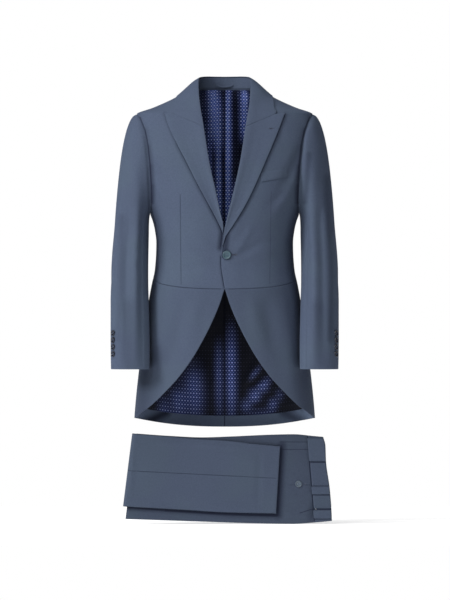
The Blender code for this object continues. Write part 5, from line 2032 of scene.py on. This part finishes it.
@dataclass
class Button:
    """A turned button with a rim, a dish and four thread holes."""

    name: str
    seat: Array
    facing: Array
    radius: float
    thick: float
    holes: float = 2.2
    hole_radius: float = 0.95
    rings: int = 34
    spokes: int = 72

    def _height(self, r: Array, x: Array, y: Array) -> Array:
        """The face's height at shares of the radius, with its pits.

        Args:
            r: Shares of the radius.
            x: Places across in millimetres.
            y: Places upward in millimetres.

        Returns:
            Heights in millimetres.
        """
        rim = 1.0 - 0.48 * smoothstep(0.80, 0.60, r) - 0.65 * smoothstep(0.88, 1.0, r) ** 2
        top = self.thick * rim
        for sx in (-1, 1):
            for sy in (-1, 1):
                off = np.hypot(x - sx * self.holes, y - sy * self.holes)
                top = top - (top * 0.8) * smoothstep(self.hole_radius * 1.15, self.hole_radius * 0.8, off)
        return top

    def _axes(self, mirror: bool) -> tuple[Array, Array, Array, Array]:
        """The seat's point and three directions.

        Args:
            mirror: Whether the button is the one on the other side.

        Returns:
            The seat, and the directions out of it, across it and up.
        """
        side = MIRROR if mirror else 1
        axis = unit(self.facing * side)
        across = unit(np.cross(axis, [0, 0, 1.0]))
        return self.seat * side, axis, across, unit(np.cross(across, axis))

    def build(self, material: Material, node: str, slot: str, mirror: bool = False) -> Piece:
        """Build the button.

        Args:
            material: The resin.
            node: The solid that it stands for.
            slot: The record's slot; not used.
            mirror: Whether it sits on the other side.

        Returns:
            The piece.
        """
        seat, axis, across, up = self._axes(mirror)
        angle = math.tau * np.arange(self.spokes) / self.spokes
        verts = [seat + axis * (0.3 + float(self._height(np.array(0.0), np.array(0.0), np.array(0.0))))]
        for r in spread(self.rings)[1:]:
            x, y = np.cos(angle) * r * self.radius, np.sin(angle) * r * self.radius
            h = self._height(np.full(self.spokes, r), x, y) + 0.3
            verts += list(seat + across * x[:, None] + up * y[:, None] + axis * h[:, None])
        for r, h in ((1.0, 0.3 + self.thick * 0.18), (0.93, 0.3), (0.5, 0.3)):
            x, y = np.cos(angle) * r * self.radius, np.sin(angle) * r * self.radius
            verts += list(seat + across * x[:, None] + up * y[:, None] + axis * h)
        verts.append(seat + axis * 0.3)
        n = self.spokes
        faces = [(0, 1 + k, 1 + (k + 1) % n) for k in range(n)]
        rows = self.rings + 3
        for j in range(rows - 1):
            for k in range(n):
                a, b = 1 + j * n + k, 1 + j * n + (k + 1) % n
                faces.append((a, a + n, b + n, b))
        end = 1 + rows * n
        faces += [(end, end - n + (k + 1) % n, end - n + k) for k in range(n)]
        piece = make_mesh(self.name, np.array(verts) * MM, faces, material)
        return place(piece, [node], slot)

    def thread(self, mirror: bool = False) -> list[tuple[Array, Array]]:
        """The two bars of thread between the holes, as (start, end) points.

        Args:
            mirror: Whether the button is the one on the other side.

        Returns:
            Two bars.
        """
        seat, axis, across, up = self._axes(mirror)
        lift = axis * (0.3 + self.thick * 0.58)
        bars = []
        for sign in (-1, 1):
            a = seat + lift + across * self.holes * sign - up * self.holes
            b = seat + lift + across * self.holes * sign + up * self.holes
            bars.append((a, b))
        return bars


# Stitches


class Stitch(NamedTuple):
    """A kind of stitch: its pitch, length and thickness in metres, and its lean in radians."""

    pitch: float
    length: float
    thickness: float
    lean: float = 0.0


BAR = Stitch(0.0009, 0.0013, 0.0009)
FRONT_HOLE = Stitch(0.0006, 0.0017, 0.0005, 1.45)
SMALL_HOLE = Stitch(0.0006, 0.0016, 0.0005, 1.45)
FELLING = Stitch(0.004, 0.0024, 0.0005, 0.35)
TACK = Stitch(0.0010, 0.0016, 0.0007)
STITCH_INPUTS = ("Pitch", "Length", "Thickness", "Lean")


@dataclass
class StitchTree:
    """Short stitches along lines, by a node tree."""

    name: str
    material: Material

    def group(self) -> bpy.types.NodeTree:
        """Make the tree, with the stitches' pitch, length and thickness as inputs.

        Returns:
            The tree.
        """
        tree = bpy.data.node_groups.new(self.name, "GeometryNodeTree")
        face = tree.interface
        face.new_socket("Geometry", in_out="INPUT", socket_type="NodeSocketGeometry")
        for title, value in zip(STITCH_INPUTS, BAR):
            socket = face.new_socket(title, in_out="INPUT", socket_type="NodeSocketFloat")
            socket.default_value = value
        face.new_socket("Geometry", in_out="OUTPUT", socket_type="NodeSocketGeometry")
        nodes = tree.nodes
        start, end = nodes.new("NodeGroupInput"), nodes.new("NodeGroupOutput")
        to_curve = nodes.new("GeometryNodeMeshToCurve")
        to_points = nodes.new("GeometryNodeCurveToPoints")
        to_points.mode = "LENGTH"
        bead = nodes.new("GeometryNodeMeshUVSphere")
        for title, value in (("Segments", 8), ("Rings", 6), ("Radius", 0.5)):
            bead.inputs[title].default_value = value
        size, turn = nodes.new("ShaderNodeCombineXYZ"), nodes.new("ShaderNodeCombineXYZ")
        shaped, leaned = nodes.new("GeometryNodeTransform"), nodes.new("GeometryNodeTransform")
        instances = nodes.new("GeometryNodeInstanceOnPoints")
        real = nodes.new("GeometryNodeRealizeInstances")
        smooth = nodes.new("GeometryNodeSetShadeSmooth")
        dress = nodes.new("GeometryNodeSetMaterial")
        dress.inputs["Material"].default_value = self.material
        for source, output, target, socket in (
                (start, "Geometry", to_curve, 0), (to_curve, 0, to_points, 0),
                (start, "Pitch", to_points, "Length"), (start, "Thickness", size, 0),
                (start, "Thickness", size, 1), (start, "Length", size, 2),
                (bead, "Mesh", shaped, "Geometry"), (size, 0, shaped, "Scale"),
                (start, "Lean", turn, 0), (shaped, 0, leaned, "Geometry"),
                (turn, 0, leaned, "Rotation"), (to_points, "Points", instances, "Points"),
                (to_points, "Rotation", instances, "Rotation"), (leaned, 0, instances, "Instance"),
                (instances, 0, real, 0), (real, 0, smooth, 0), (smooth, 0, dress, 0),
                (dress, 0, end, 0)):
            tree.links.new(source.outputs[output], target.inputs[socket])
        return tree

    def sew(self, name: str, lines: Sequence[Array], slot: str, stitch: Stitch) -> Piece:
        """Sew stitches along lines and place them as a plain mesh.

        Args:
            name: The piece's name.
            lines: Lines of points in millimetres.
            slot: The record's slot; not used.
            stitch: The kind of stitch.

        Returns:
            The piece.
        """
        verts, edges = [], []
        for line in lines:
            base = len(verts)
            verts += [tuple(point * MM) for point in line]
            edges += [(base + k, base + k + 1) for k in range(len(line) - 1)]
        mesh = bpy.data.meshes.new(name)
        mesh.from_pydata(verts, edges, [])
        track = bpy.data.objects.new(f"{name}_track", mesh)
        bpy.context.collection.objects.link(track)
        modifier = track.modifiers.new("stitches", "NODES")
        modifier.node_group = bpy.data.node_groups.get(self.name) or self.group()
        sockets = {item.name: item.identifier for item in modifier.node_group.interface.items_tree
                   if item.in_out == "INPUT"}
        for title, value in zip(STITCH_INPUTS, stitch):
            modifier[sockets[title]] = value
        graph = bpy.context.evaluated_depsgraph_get()
        made = bpy.data.meshes.new_from_object(track.evaluated_get(graph))
        track.modifiers.remove(modifier)
        bpy.data.objects.remove(track, do_unlink=True)
        piece = bpy.data.objects.new(name, made)
        if not made.materials:
            made.materials.append(self.material)
        bpy.context.collection.objects.link(piece)
        return place(piece, [], slot)


@dataclass
class Sewing:
    """Buttons, their threads, the buttonholes and the felling of the lining."""

    sleeves: Sleeves
    front_seat: tuple[float, float] = (5.4, -425.5)
    cuff_heights: tuple[float, ...] = (-624.0, -641.6, -659.2, -676.8)
    cuff_turn: float = 33.0
    pocket_seat: tuple[float, float, float] = (188.4, -1.4, -1009.0)

    def _front(self, x: Any, z: Any, proud: float) -> Array:
        """Points on the over front."""
        return FORM.on(FORM.front_turn(x, z), z, proud, Side.OVER)[0]

    def _hole(self, middle: tuple[float, float], length: float, proud: float) -> list[Array]:
        """The two long sides of a buttonhole on the front.

        Args:
            middle: The buttonhole's middle, as (x, height).
            length: Its length.
            proud: How far in front of the form the thread lies.

        Returns:
            Lines of points in millimetres.
        """
        x = middle[0] + lerp(-length / 2, length / 2, spread(20))
        upper = self._front(x, np.full_like(x, middle[1] + 0.8), proud)
        lower = self._front(x, np.full_like(x, middle[1] - 0.8), proud)
        return [upper, lower]

    def build(self, finishes: dict[str, Material]) -> None:
        """Build the buttons and the stitches.

        Args:
            finishes: Resins and threads by name.
        """
        x, z = self.front_seat
        seat, facing = FORM.on(FORM.front_turn(x, z), z, 0.6, Side.OVER)
        front = Button("front_button_resin", seat, facing, 10.8, 3.8)
        front.build(finishes["blue"], "front_button", "blue_button")
        pocket = Button("pocket_button_resin", np.array(self.pocket_seat), np.array([0, -1.0, 0]),
                        8.6, 3.0, holes=1.8, hole_radius=0.8)
        pocket.build(finishes["grey"], "pocket_button", "blue_button")
        bars = front.thread() + pocket.thread()
        for side in Side:
            mirror = side is Side.UNDER
            for number, height in enumerate(self.cuff_heights, start=1):
                seat = self.sleeves.point(self.cuff_turn, height)
                beside = self.sleeves.point(self.cuff_turn + 4, height)
                below = self.sleeves.point(self.cuff_turn, height - 6)
                facing = unit(np.cross(below - seat, beside - seat))
                facing = -facing if facing[0] < 0 else facing
                name = f"cuff_button_{side.value}_{number}"
                cuff = Button(f"{name}_resin", seat, facing, 7.75, 3.0, holes=1.7,
                              hole_radius=0.75, rings=22, spokes=48)
                cuff.build(finishes["dark"], name, "dark_button", mirror)
                bars += cuff.thread(mirror)
        tree = StitchTree("short_stitches", finishes["thread"])
        night_tree = StitchTree("night_stitches", finishes["night"])
        lines = [np.array([a, b]) for a, b in bars]
        tree.sew("button_threads", lines, "suiting", BAR)
        night_tree.sew("front_buttonhole_stitches", self._hole((22.0, -425.2), 17.0, 0.25),
                       "suiting", FRONT_HOLE)
        night_tree.sew("lapel_buttonhole_stitches", self._hole((120.2, -105.6), 15.0, 3.6),
                       "suiting", SMALL_HOLE)
        x = 199.0 + lerp(-7.0, 9.0, spread(12))
        pocket_hole = [np.stack([x, np.full_like(x, -1.7), np.full_like(x, -1009.0 + dz)], axis=-1)
                       for dz in (-0.8, 0.8)]
        night_tree.sew("pocket_buttonhole_stitches", pocket_hole, "suiting", SMALL_HOLE)
        turn = lerp(100.0, 180.0, spread(70))
        felling = []
        for sign in (1, -1):
            line = FORM.on(turn, FORM.hem(turn) + 28.4, -5.2)[0]
            felling.append(line * np.array([sign, 1, 1]))
        tree.sew("lining_felling", felling, "suiting", FELLING)
        tack = np.array([(232.4, -4.6, -1071.4), (232.6, -4.6, -1074.4)])
        StitchTree("pale_stitches", finishes["pale"]).sew("loop_tack_stitches", [tack], "suiting",
                                                          TACK)


# Studio


@dataclass(frozen=True)
class Studio:
    """A pale floor, soft lights and a level camera straight in front."""

    floor_height: float = -1.1116
    distance: float = 20.0
    frame_height: float = 1.53
    aim: tuple[float, float] = (0.0008, -0.540)
    ambient: float = 0.15
    behind: float = 0.04
    floor_glow: float = 0.62

    def build(self) -> None:
        """Build the floor, world, lights and camera."""
        size = 1.7
        verts = np.array([(-size, -size, 0), (size, -size, 0), (size, size, 0), (-size, size, 0)])
        verts = verts + np.array([0, 0, self.floor_height])
        g = Graph("pale_floor")
        spot, _, _, _ = g.where()
        grain = g.noise(spot, 3.0, 2.0)
        g.surface(Base_Color=g.mix(grain, (0.90, 0.90, 0.90, 1), (0.93, 0.93, 0.93, 1)),
                  Roughness=0.9, Specular_IOR_Level=0.1, Emission_Color=(1.0, 1.0, 1.0, 1.0),
                  Emission_Strength=self.floor_glow)
        floor = make_mesh("floor", verts, [(0, 1, 2, 3)], g.material)
        world = bpy.data.worlds.new("studio")
        bpy.context.scene.world = world
        world.use_nodes = True
        tree = world.node_tree
        ground = tree.nodes["Background"]
        ground.inputs["Color"].default_value = (1, 1, 1, 1)
        where = tree.nodes.new("ShaderNodeTexCoord")
        split = tree.nodes.new("ShaderNodeSeparateXYZ")
        ramp = tree.nodes.new("ShaderNodeMapRange")
        ramp.interpolation_type = "SMOOTHSTEP"
        for socket, value in zip(ramp.inputs[1:5], (0.3, -0.9, self.behind, self.ambient)):
            socket.default_value = value
        tree.links.new(where.outputs["Generated"], split.inputs[0])
        tree.links.new(split.outputs["Y"], ramp.inputs[0])
        tree.links.new(ramp.outputs[0], ground.inputs["Strength"])
        seen = tree.nodes.new("ShaderNodeBackground")
        seen.inputs["Color"].default_value = (1, 1, 1, 1)
        seen.inputs["Strength"].default_value = 1.0
        path = tree.nodes.new("ShaderNodeLightPath")
        mix = tree.nodes.new("ShaderNodeMixShader")
        tree.links.new(path.outputs["Is Camera Ray"], mix.inputs[0])
        tree.links.new(ground.outputs[0], mix.inputs[1])
        tree.links.new(seen.outputs[0], mix.inputs[2])
        tree.links.new(mix.outputs[0], tree.nodes["World Output"].inputs[0])
        self._area("key", (-3.5, -2.5, 1.3), (0.0, 0.0, -0.5), 1.1, 142.0)
        self._area("front", (-1.1, -3.0, 1.0), (0.0, 0.0, -0.4), 0.8, 20.0)
        self._area("top", (-0.4, -1.0, 2.4), (0.0, 0.0, -0.8), 1.6, 19.0)
        self._sun()
        lens = bpy.data.cameras.new("camera")
        lens.lens = 36.0 * self.distance / self.frame_height
        lens.clip_end = 200.0
        camera = bpy.data.objects.new("camera", lens)
        camera.location = (self.aim[0], -self.distance, self.aim[1])
        camera.rotation_euler = (math.pi / 2, 0, 0)
        bpy.context.collection.objects.link(camera)
        bpy.context.scene.camera = camera
        bpy.context.scene.view_settings.view_transform = "Standard"

    def _area(self, name: str, at: tuple[float, float, float], to: tuple[float, float, float],
              size: float, power: float) -> None:
        """Add a soft lamp aimed at a point.

        Args:
            name: The lamp's name.
            at: Its place in metres.
            to: The point it aims at.
            size: Its width in metres.
            power: Its power in watts.
        """
        lamp = bpy.data.lights.new(name, "AREA")
        lamp.energy, lamp.size = power, size
        thing = bpy.data.objects.new(name, lamp)
        thing.location = at
        thing.rotation_euler = (Vector(to) - Vector(at)).to_track_quat("-Z", "Y").to_euler()
        bpy.context.collection.objects.link(thing)

    def _sun(self) -> None:
        """Add a weak broad sun that keeps the floor pale."""
        lamp = bpy.data.lights.new("sun", "SUN")
        lamp.energy, lamp.angle = 0.9, 1.2
        thing = bpy.data.objects.new("sun", lamp)
        thing.rotation_euler = (math.radians(28), 0, math.radians(-20))
        bpy.context.collection.objects.link(thing)


def lapel_shadow(side: Side, width: float, off: float, depth: float) -> tuple[SeamAndShadeLine, ...]:
    """Painted shade lines on a front along its lapel's outer edge, where the lapel shades it.

    Args:
        side: The lapel's side.
        width: The lines' half width.
        off: How far outside the edge they run.
        depth: How dark they are by the button.

    Returns:
        The lines, fainter towards the peak.
    """
    sign = 1 if side is Side.OVER else -1
    column = side.name.lower()
    last = len(LAPEL_EDGE) if side is Side.OVER else -2
    rows = [row for row in LAPEL_EDGE[:last] if row.height not in (-100, -190)]
    lines = []
    for number, (near, far) in enumerate(zip(rows, rows[1:])):
        ends = [((getattr(row, column) + off) * sign, row.height - off * 0.4) for row in (near, far)]
        lines.append(SeamAndShadeLine(ends[0], ends[1], width, depth * lerp(0.45, 1.0, number / (len(rows) - 2))))
    return tuple(lines)


def arm_shadow(side: Side, width: float, off: float, depth: tuple[float, float]
               ) -> tuple[SeamAndShadeLine, ...]:
    """Painted shade lines on a front along its armhole, where the sleeve shades it.

    Args:
        side: The armhole's side.
        width: The lines' half width.
        off: How far inside the armhole they run.
        depth: How dark they are at the top and at the underarm.

    Returns:
        The lines.
    """
    sign = 1 if side is Side.OVER else -1
    heights = np.array([-75.0, -110.0, -150.0, -200.0, -250.0, -292.0])
    turns = [float(FORM.armhole(height, False)) for height in heights]
    places = FORM.on(np.array(turns), heights)[0][:, ::2] - np.array([off, 0.0])
    places = places * np.array([sign, 1.0])
    return tuple(SeamAndShadeLine(tuple(a), tuple(b), width, lerp(depth[0], depth[1], k / 4))
                 for k, (a, b) in enumerate(zip(places, places[1:])))


def waist_line(side: Side, width: float, depth: float) -> tuple[SeamAndShadeLine, ...]:
    """Lines along the waist seam, from the front edge to the side.

    Args:
        side: The side.
        width: The lines' half width.
        depth: How dark they are.

    Returns:
        The lines.
    """
    sign = 1 if side is Side.OVER else -1
    turns = lerp(2.0, 66.0, spread(6))
    places = FORM.on(turns, FORM.waist(turns))[0][:, ::2] * np.array([sign, 1.0])
    return tuple(SeamAndShadeLine(tuple(a), tuple(b), width, depth) for a, b in zip(places, places[1:]))


def edge_shadow(width: float, depth: float) -> tuple[SeamAndShadeLine, ...]:
    """Painted shade lines on the under front along the over front's edge, below the lapel.

    Args:
        width: The lines' half width.
        depth: How dark they are.

    Returns:
        The lines.
    """
    heights = np.array([-430.0, -450.0, -480.0, -508.0])
    across = FORM.front_line(Side.OVER)(heights) - 0.8
    places = list(zip(across, heights))
    return tuple(SeamAndShadeLine(a, b, width, depth) for a, b in zip(places, places[1:]))


def flank_shadow(side: Side, high: float, low: float, width: float, depth: float
                 ) -> tuple[SeamAndShadeLine, ...]:
    """Painted shade lines down a side of the coat, where its sleeve shades it.

    Args:
        side: The side.
        high: The height where they start.
        low: The height where they end.
        width: The lines' half width.
        depth: How dark they are.

    Returns:
        The lines.
    """
    sign = 1 if side is Side.OVER else -1
    heights = lerp(high, low, spread(4))
    places = FORM.on(np.full(len(heights), 90.0), heights)[0][:, ::2] * np.array([sign, 1.0])
    return tuple(SeamAndShadeLine(tuple(a), tuple(b), width, depth) for a, b in zip(places, places[1:]))


def main() -> None:
    """Build the suit's look and its studio."""
    logging.basicConfig(level=logging.INFO, format="%(message)s")
    plain = Suiting().material()
    darts = {Side.OVER: SeamAndShadeLine((118.0, -266.0), (114.5, -498.0), 1.0, 0.5),
             Side.UNDER: SeamAndShadeLine((-112.7, -273.0), (-110.5, -500.0), 1.0, 0.75)}
    panels = {"plain": plain}
    # Painted shade by the closing: dark lines under the lapel's end and along the over front's edge, a
    # painted shadow ring round the front button, and soft painted shadows beside them
    closing_shade = {
        Side.OVER: (table(SeamAndShadeLine,
            ((-2.4, -398.0), (-4.6, -414.0), 1.7, 1.0), ((-4.6, -414.0), (-5.8, -432.0), 1.7, 0.8),
            ((5.1, -426.5), (5.7, -426.5), 16.0, 1.0),
        ),
                    (SeamAndShadeLine((8.0, -360.0), (0.0, -425.0), 13.0, 0.75),)),
        Side.UNDER: ((SeamAndShadeLine((-4.0, -352.0), (-10.5, -404.0), 2.4, 0.8),),
                     (SeamAndShadeLine((-6.0, -352.0), (-12.0, -408.0), 13.0, 0.75),)),
    }
    # Soft painted shade over the lower skirts
    hip_shade = {Side.OVER: SeamAndShadeLine((205.0, -690.0), (222.0, -850.0), 60.0, 0.35),
           Side.UNDER: SeamAndShadeLine((-195.0, -690.0), (-222.0, -850.0), 65.0, 0.50)}
    for side in Side:
        name = side.value
        # Each front: dart and waist seam lines, with painted shade lines and soft painted shadows along
        # the lapel, armhole, closing and flank
        panels[f"forepart_{name}"] = Suiting(
            f"suiting_front_{name}", in_front=200.0,
            seams=(darts[side], *lapel_shadow(side, 1.7, 0.8, 1.0), *waist_line(side, 1.3, 0.6),
                   *arm_shadow(side, 2.6, 3.2, (0.8, 1.0)),
                   *(edge_shadow(1.8, 0.9) if side is Side.UNDER else ()), *closing_shade[side][0]),
            shadows=(*lapel_shadow(side, 11.0, 1.0, 0.6), *arm_shadow(side, 17.0, 1.0, (0.15, 0.95)),
                     *closing_shade[side][1],
                     *flank_shadow(side, -285.0, -500.0, 32.0, 0.8),
                     *(edge_shadow(8.0, 0.35) if side is Side.UNDER else ()))).material()
        # Side bodies: soft painted shadow where the sleeve shades them
        panels[f"side_body_{name}"] = Suiting(
            f"suiting_side_{name}", in_front=200.0,
            shadows=flank_shadow(side, -270.0, -510.0, 32.0, 0.8)).material()
        # Skirts: waist seam line, darkened a little as painted shade, with soft painted shadows beside
        # the sleeve and over the hip
        panels[f"skirt_{name}"] = Suiting(
            f"suiting_skirt_{name}", in_front=200.0,
            seams=waist_line(side, 1.3, 0.6), shade=0.87 if side is Side.OVER else 0.92,
            shadows=(*flank_shadow(side, -500.0, -705.0, 27.0, 1.0), hip_shade[side])).material()
    # The seat: darkened as painted shade, with pocket and seam lines, and painted shadow lines and soft
    # painted shadows under the leg's fold, beside its hem and along the waistband
    seat = Suiting("suiting_trouser_seat", shade=0.62, in_front=6.0, seams=table(SeamAndShadeLine,
        ((141.0, -902.0), (211.0, -902.0), 0.9), ((141.0, -921.0), (213.0, -921.0), 0.9),
        ((166.0, -1011.5), (224.0, -1011.5), 0.8, 0.7), ((192.0, -1083.0), (229.0, -1071.5), 1.4),
        ((212.5, -889.0), (218.0, -952.0), 1.6), ((216.0, -952.0), (229.0, -1104.0), 1.8),
        ((-262.0, -1066.5), (-150.0, -1075.5), 2.6), ((-150.0, -1075.5), (0.0, -1085.0), 5.4),
        ((0.0, -1085.0), (132.0, -1088.6), 5.4), ((143.6, -914.0), (133.4, -1088.0), 5.0),
    ), shadows=table(SeamAndShadeLine,
        ((-262.0, -1068.0), (0.0, -1085.0), 14.0, 0.6), ((0.0, -1085.0), (132.0, -1088.6), 15.0, 0.6),
        ((146.0, -912.0), (136.0, -1088.0), 19.0, 0.75),
        ((218.0, -1100.0), (224.0, -1060.0), 14.0, 0.3),
    )).material()
    # The top leg: darkened as painted shade, with its pressed crease line
    leg = Suiting("suiting_trouser_leg", shade=0.77, in_front=-4.0, seams=(
        SeamAndShadeLine((-254.0, -974.6), (131.0, -994.3), 0.9, 0.9),
    )).material()
    # The under leg: darkened as painted shade
    layer = Suiting("suiting_trouser_layer", shade=0.45).material()
    # Tab and loops: darkened as painted shade
    strap = Suiting("suiting_strap", shade=0.76).material()
    # The waistband: darkened as painted shade, with painted shadow lines along the edges of the tab and
    # the loops
    band = Suiting("suiting_waistband", shade=0.72, in_front=2.0, seams=table(SeamAndShadeLine,
        ((217.0, -953.4), (262.0, -953.4), 3.0), ((222.0, -1013.8), (268.0, -1013.8), 1.2, 0.7),
        ((224.0, -1037.2), (270.0, -1037.2), 2.0, 0.9), ((227.0, -1073.4), (273.0, -1073.4), 3.4),
        ((229.0, -1099.0), (273.0, -1098.0), 1.2, 0.7),
    )).material()
    # The hem facing: lightened as painted light, with its centre-back seam line and soft painted shadows
    # at both ends
    facing = Suiting("suiting_facing", shade=1.35, in_front=300.0, seams=(
        SeamAndShadeLine((0.0, -825.0), (0.0, -880.0), 1.6),
    ), shadows=table(SeamAndShadeLine,
        ((-226.0, -866.0), (-150.0, -828.0), 22.0, 0.95),
        ((226.0, -866.0), (150.0, -828.0), 22.0, 0.7),
    )).material()
    satin = DottedSatin().material()
    resins = {
        "blue": Resin("blue_resin", (0.036, 0.066, 0.092, 1.0), (0.085, 0.150, 0.180, 1.0)),
        "grey": Resin("grey_resin", (0.045, 0.066, 0.092, 1.0), (0.085, 0.115, 0.150, 1.0)),
        "dark": Resin("dark_resin", (0.003, 0.005, 0.012, 1.0), (0.010, 0.014, 0.034, 1.0), 0.22),
        "thread": Thread("blue_thread", (0.085, 0.115, 0.19, 1.0)),
        "night": Thread("night_thread", (0.020, 0.028, 0.060, 1.0)),
        "pale": Thread("pale_thread", (0.55, 0.57, 0.60, 1.0)),
    }

    body = CoatBody()
    body.build(panels)
    sleeves = Sleeves()
    sleeves.build(body.loops, {
        # Each sleeve's suiting carries soft painted shadows on its front and by the armpit
        "left": Suiting("suiting_sleeve_left", in_front=-62.0, fade=55.0, shadows=table(SeamAndShadeLine,
            ((262.0, -230.0), (266.0, -640.0), 20.0, 0.42),
            ((214.0, -170.0), (205.0, -290.0), 12.0, 0.40),
            ((244.0, -560.0), (244.0, -700.0), 40.0, 0.30),
        )).material(),
        "right": Suiting("suiting_sleeve_right", in_front=-62.0, fade=55.0, shadows=table(SeamAndShadeLine,
            ((-262.0, -330.0), (-268.0, -640.0), 14.0, 0.22),
            ((-244.0, -560.0), (-244.0, -700.0), 40.0, 0.25),
        )).material(),
    })
    Lapels().build(plain)
    Collar().build(plain)
    BreastWelt().build(plain)
    BackLining().build(satin, facing)
    Trousers().build({"plain": strap, "trouser_seat": seat, "trouser_leg": leg,
                      "waistband": band, "layer": layer})
    Sewing(sleeves).build({name: finish.material() for name, finish in resins.items()})
    Studio().build()
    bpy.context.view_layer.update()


if __name__ == "__main__":
    main()
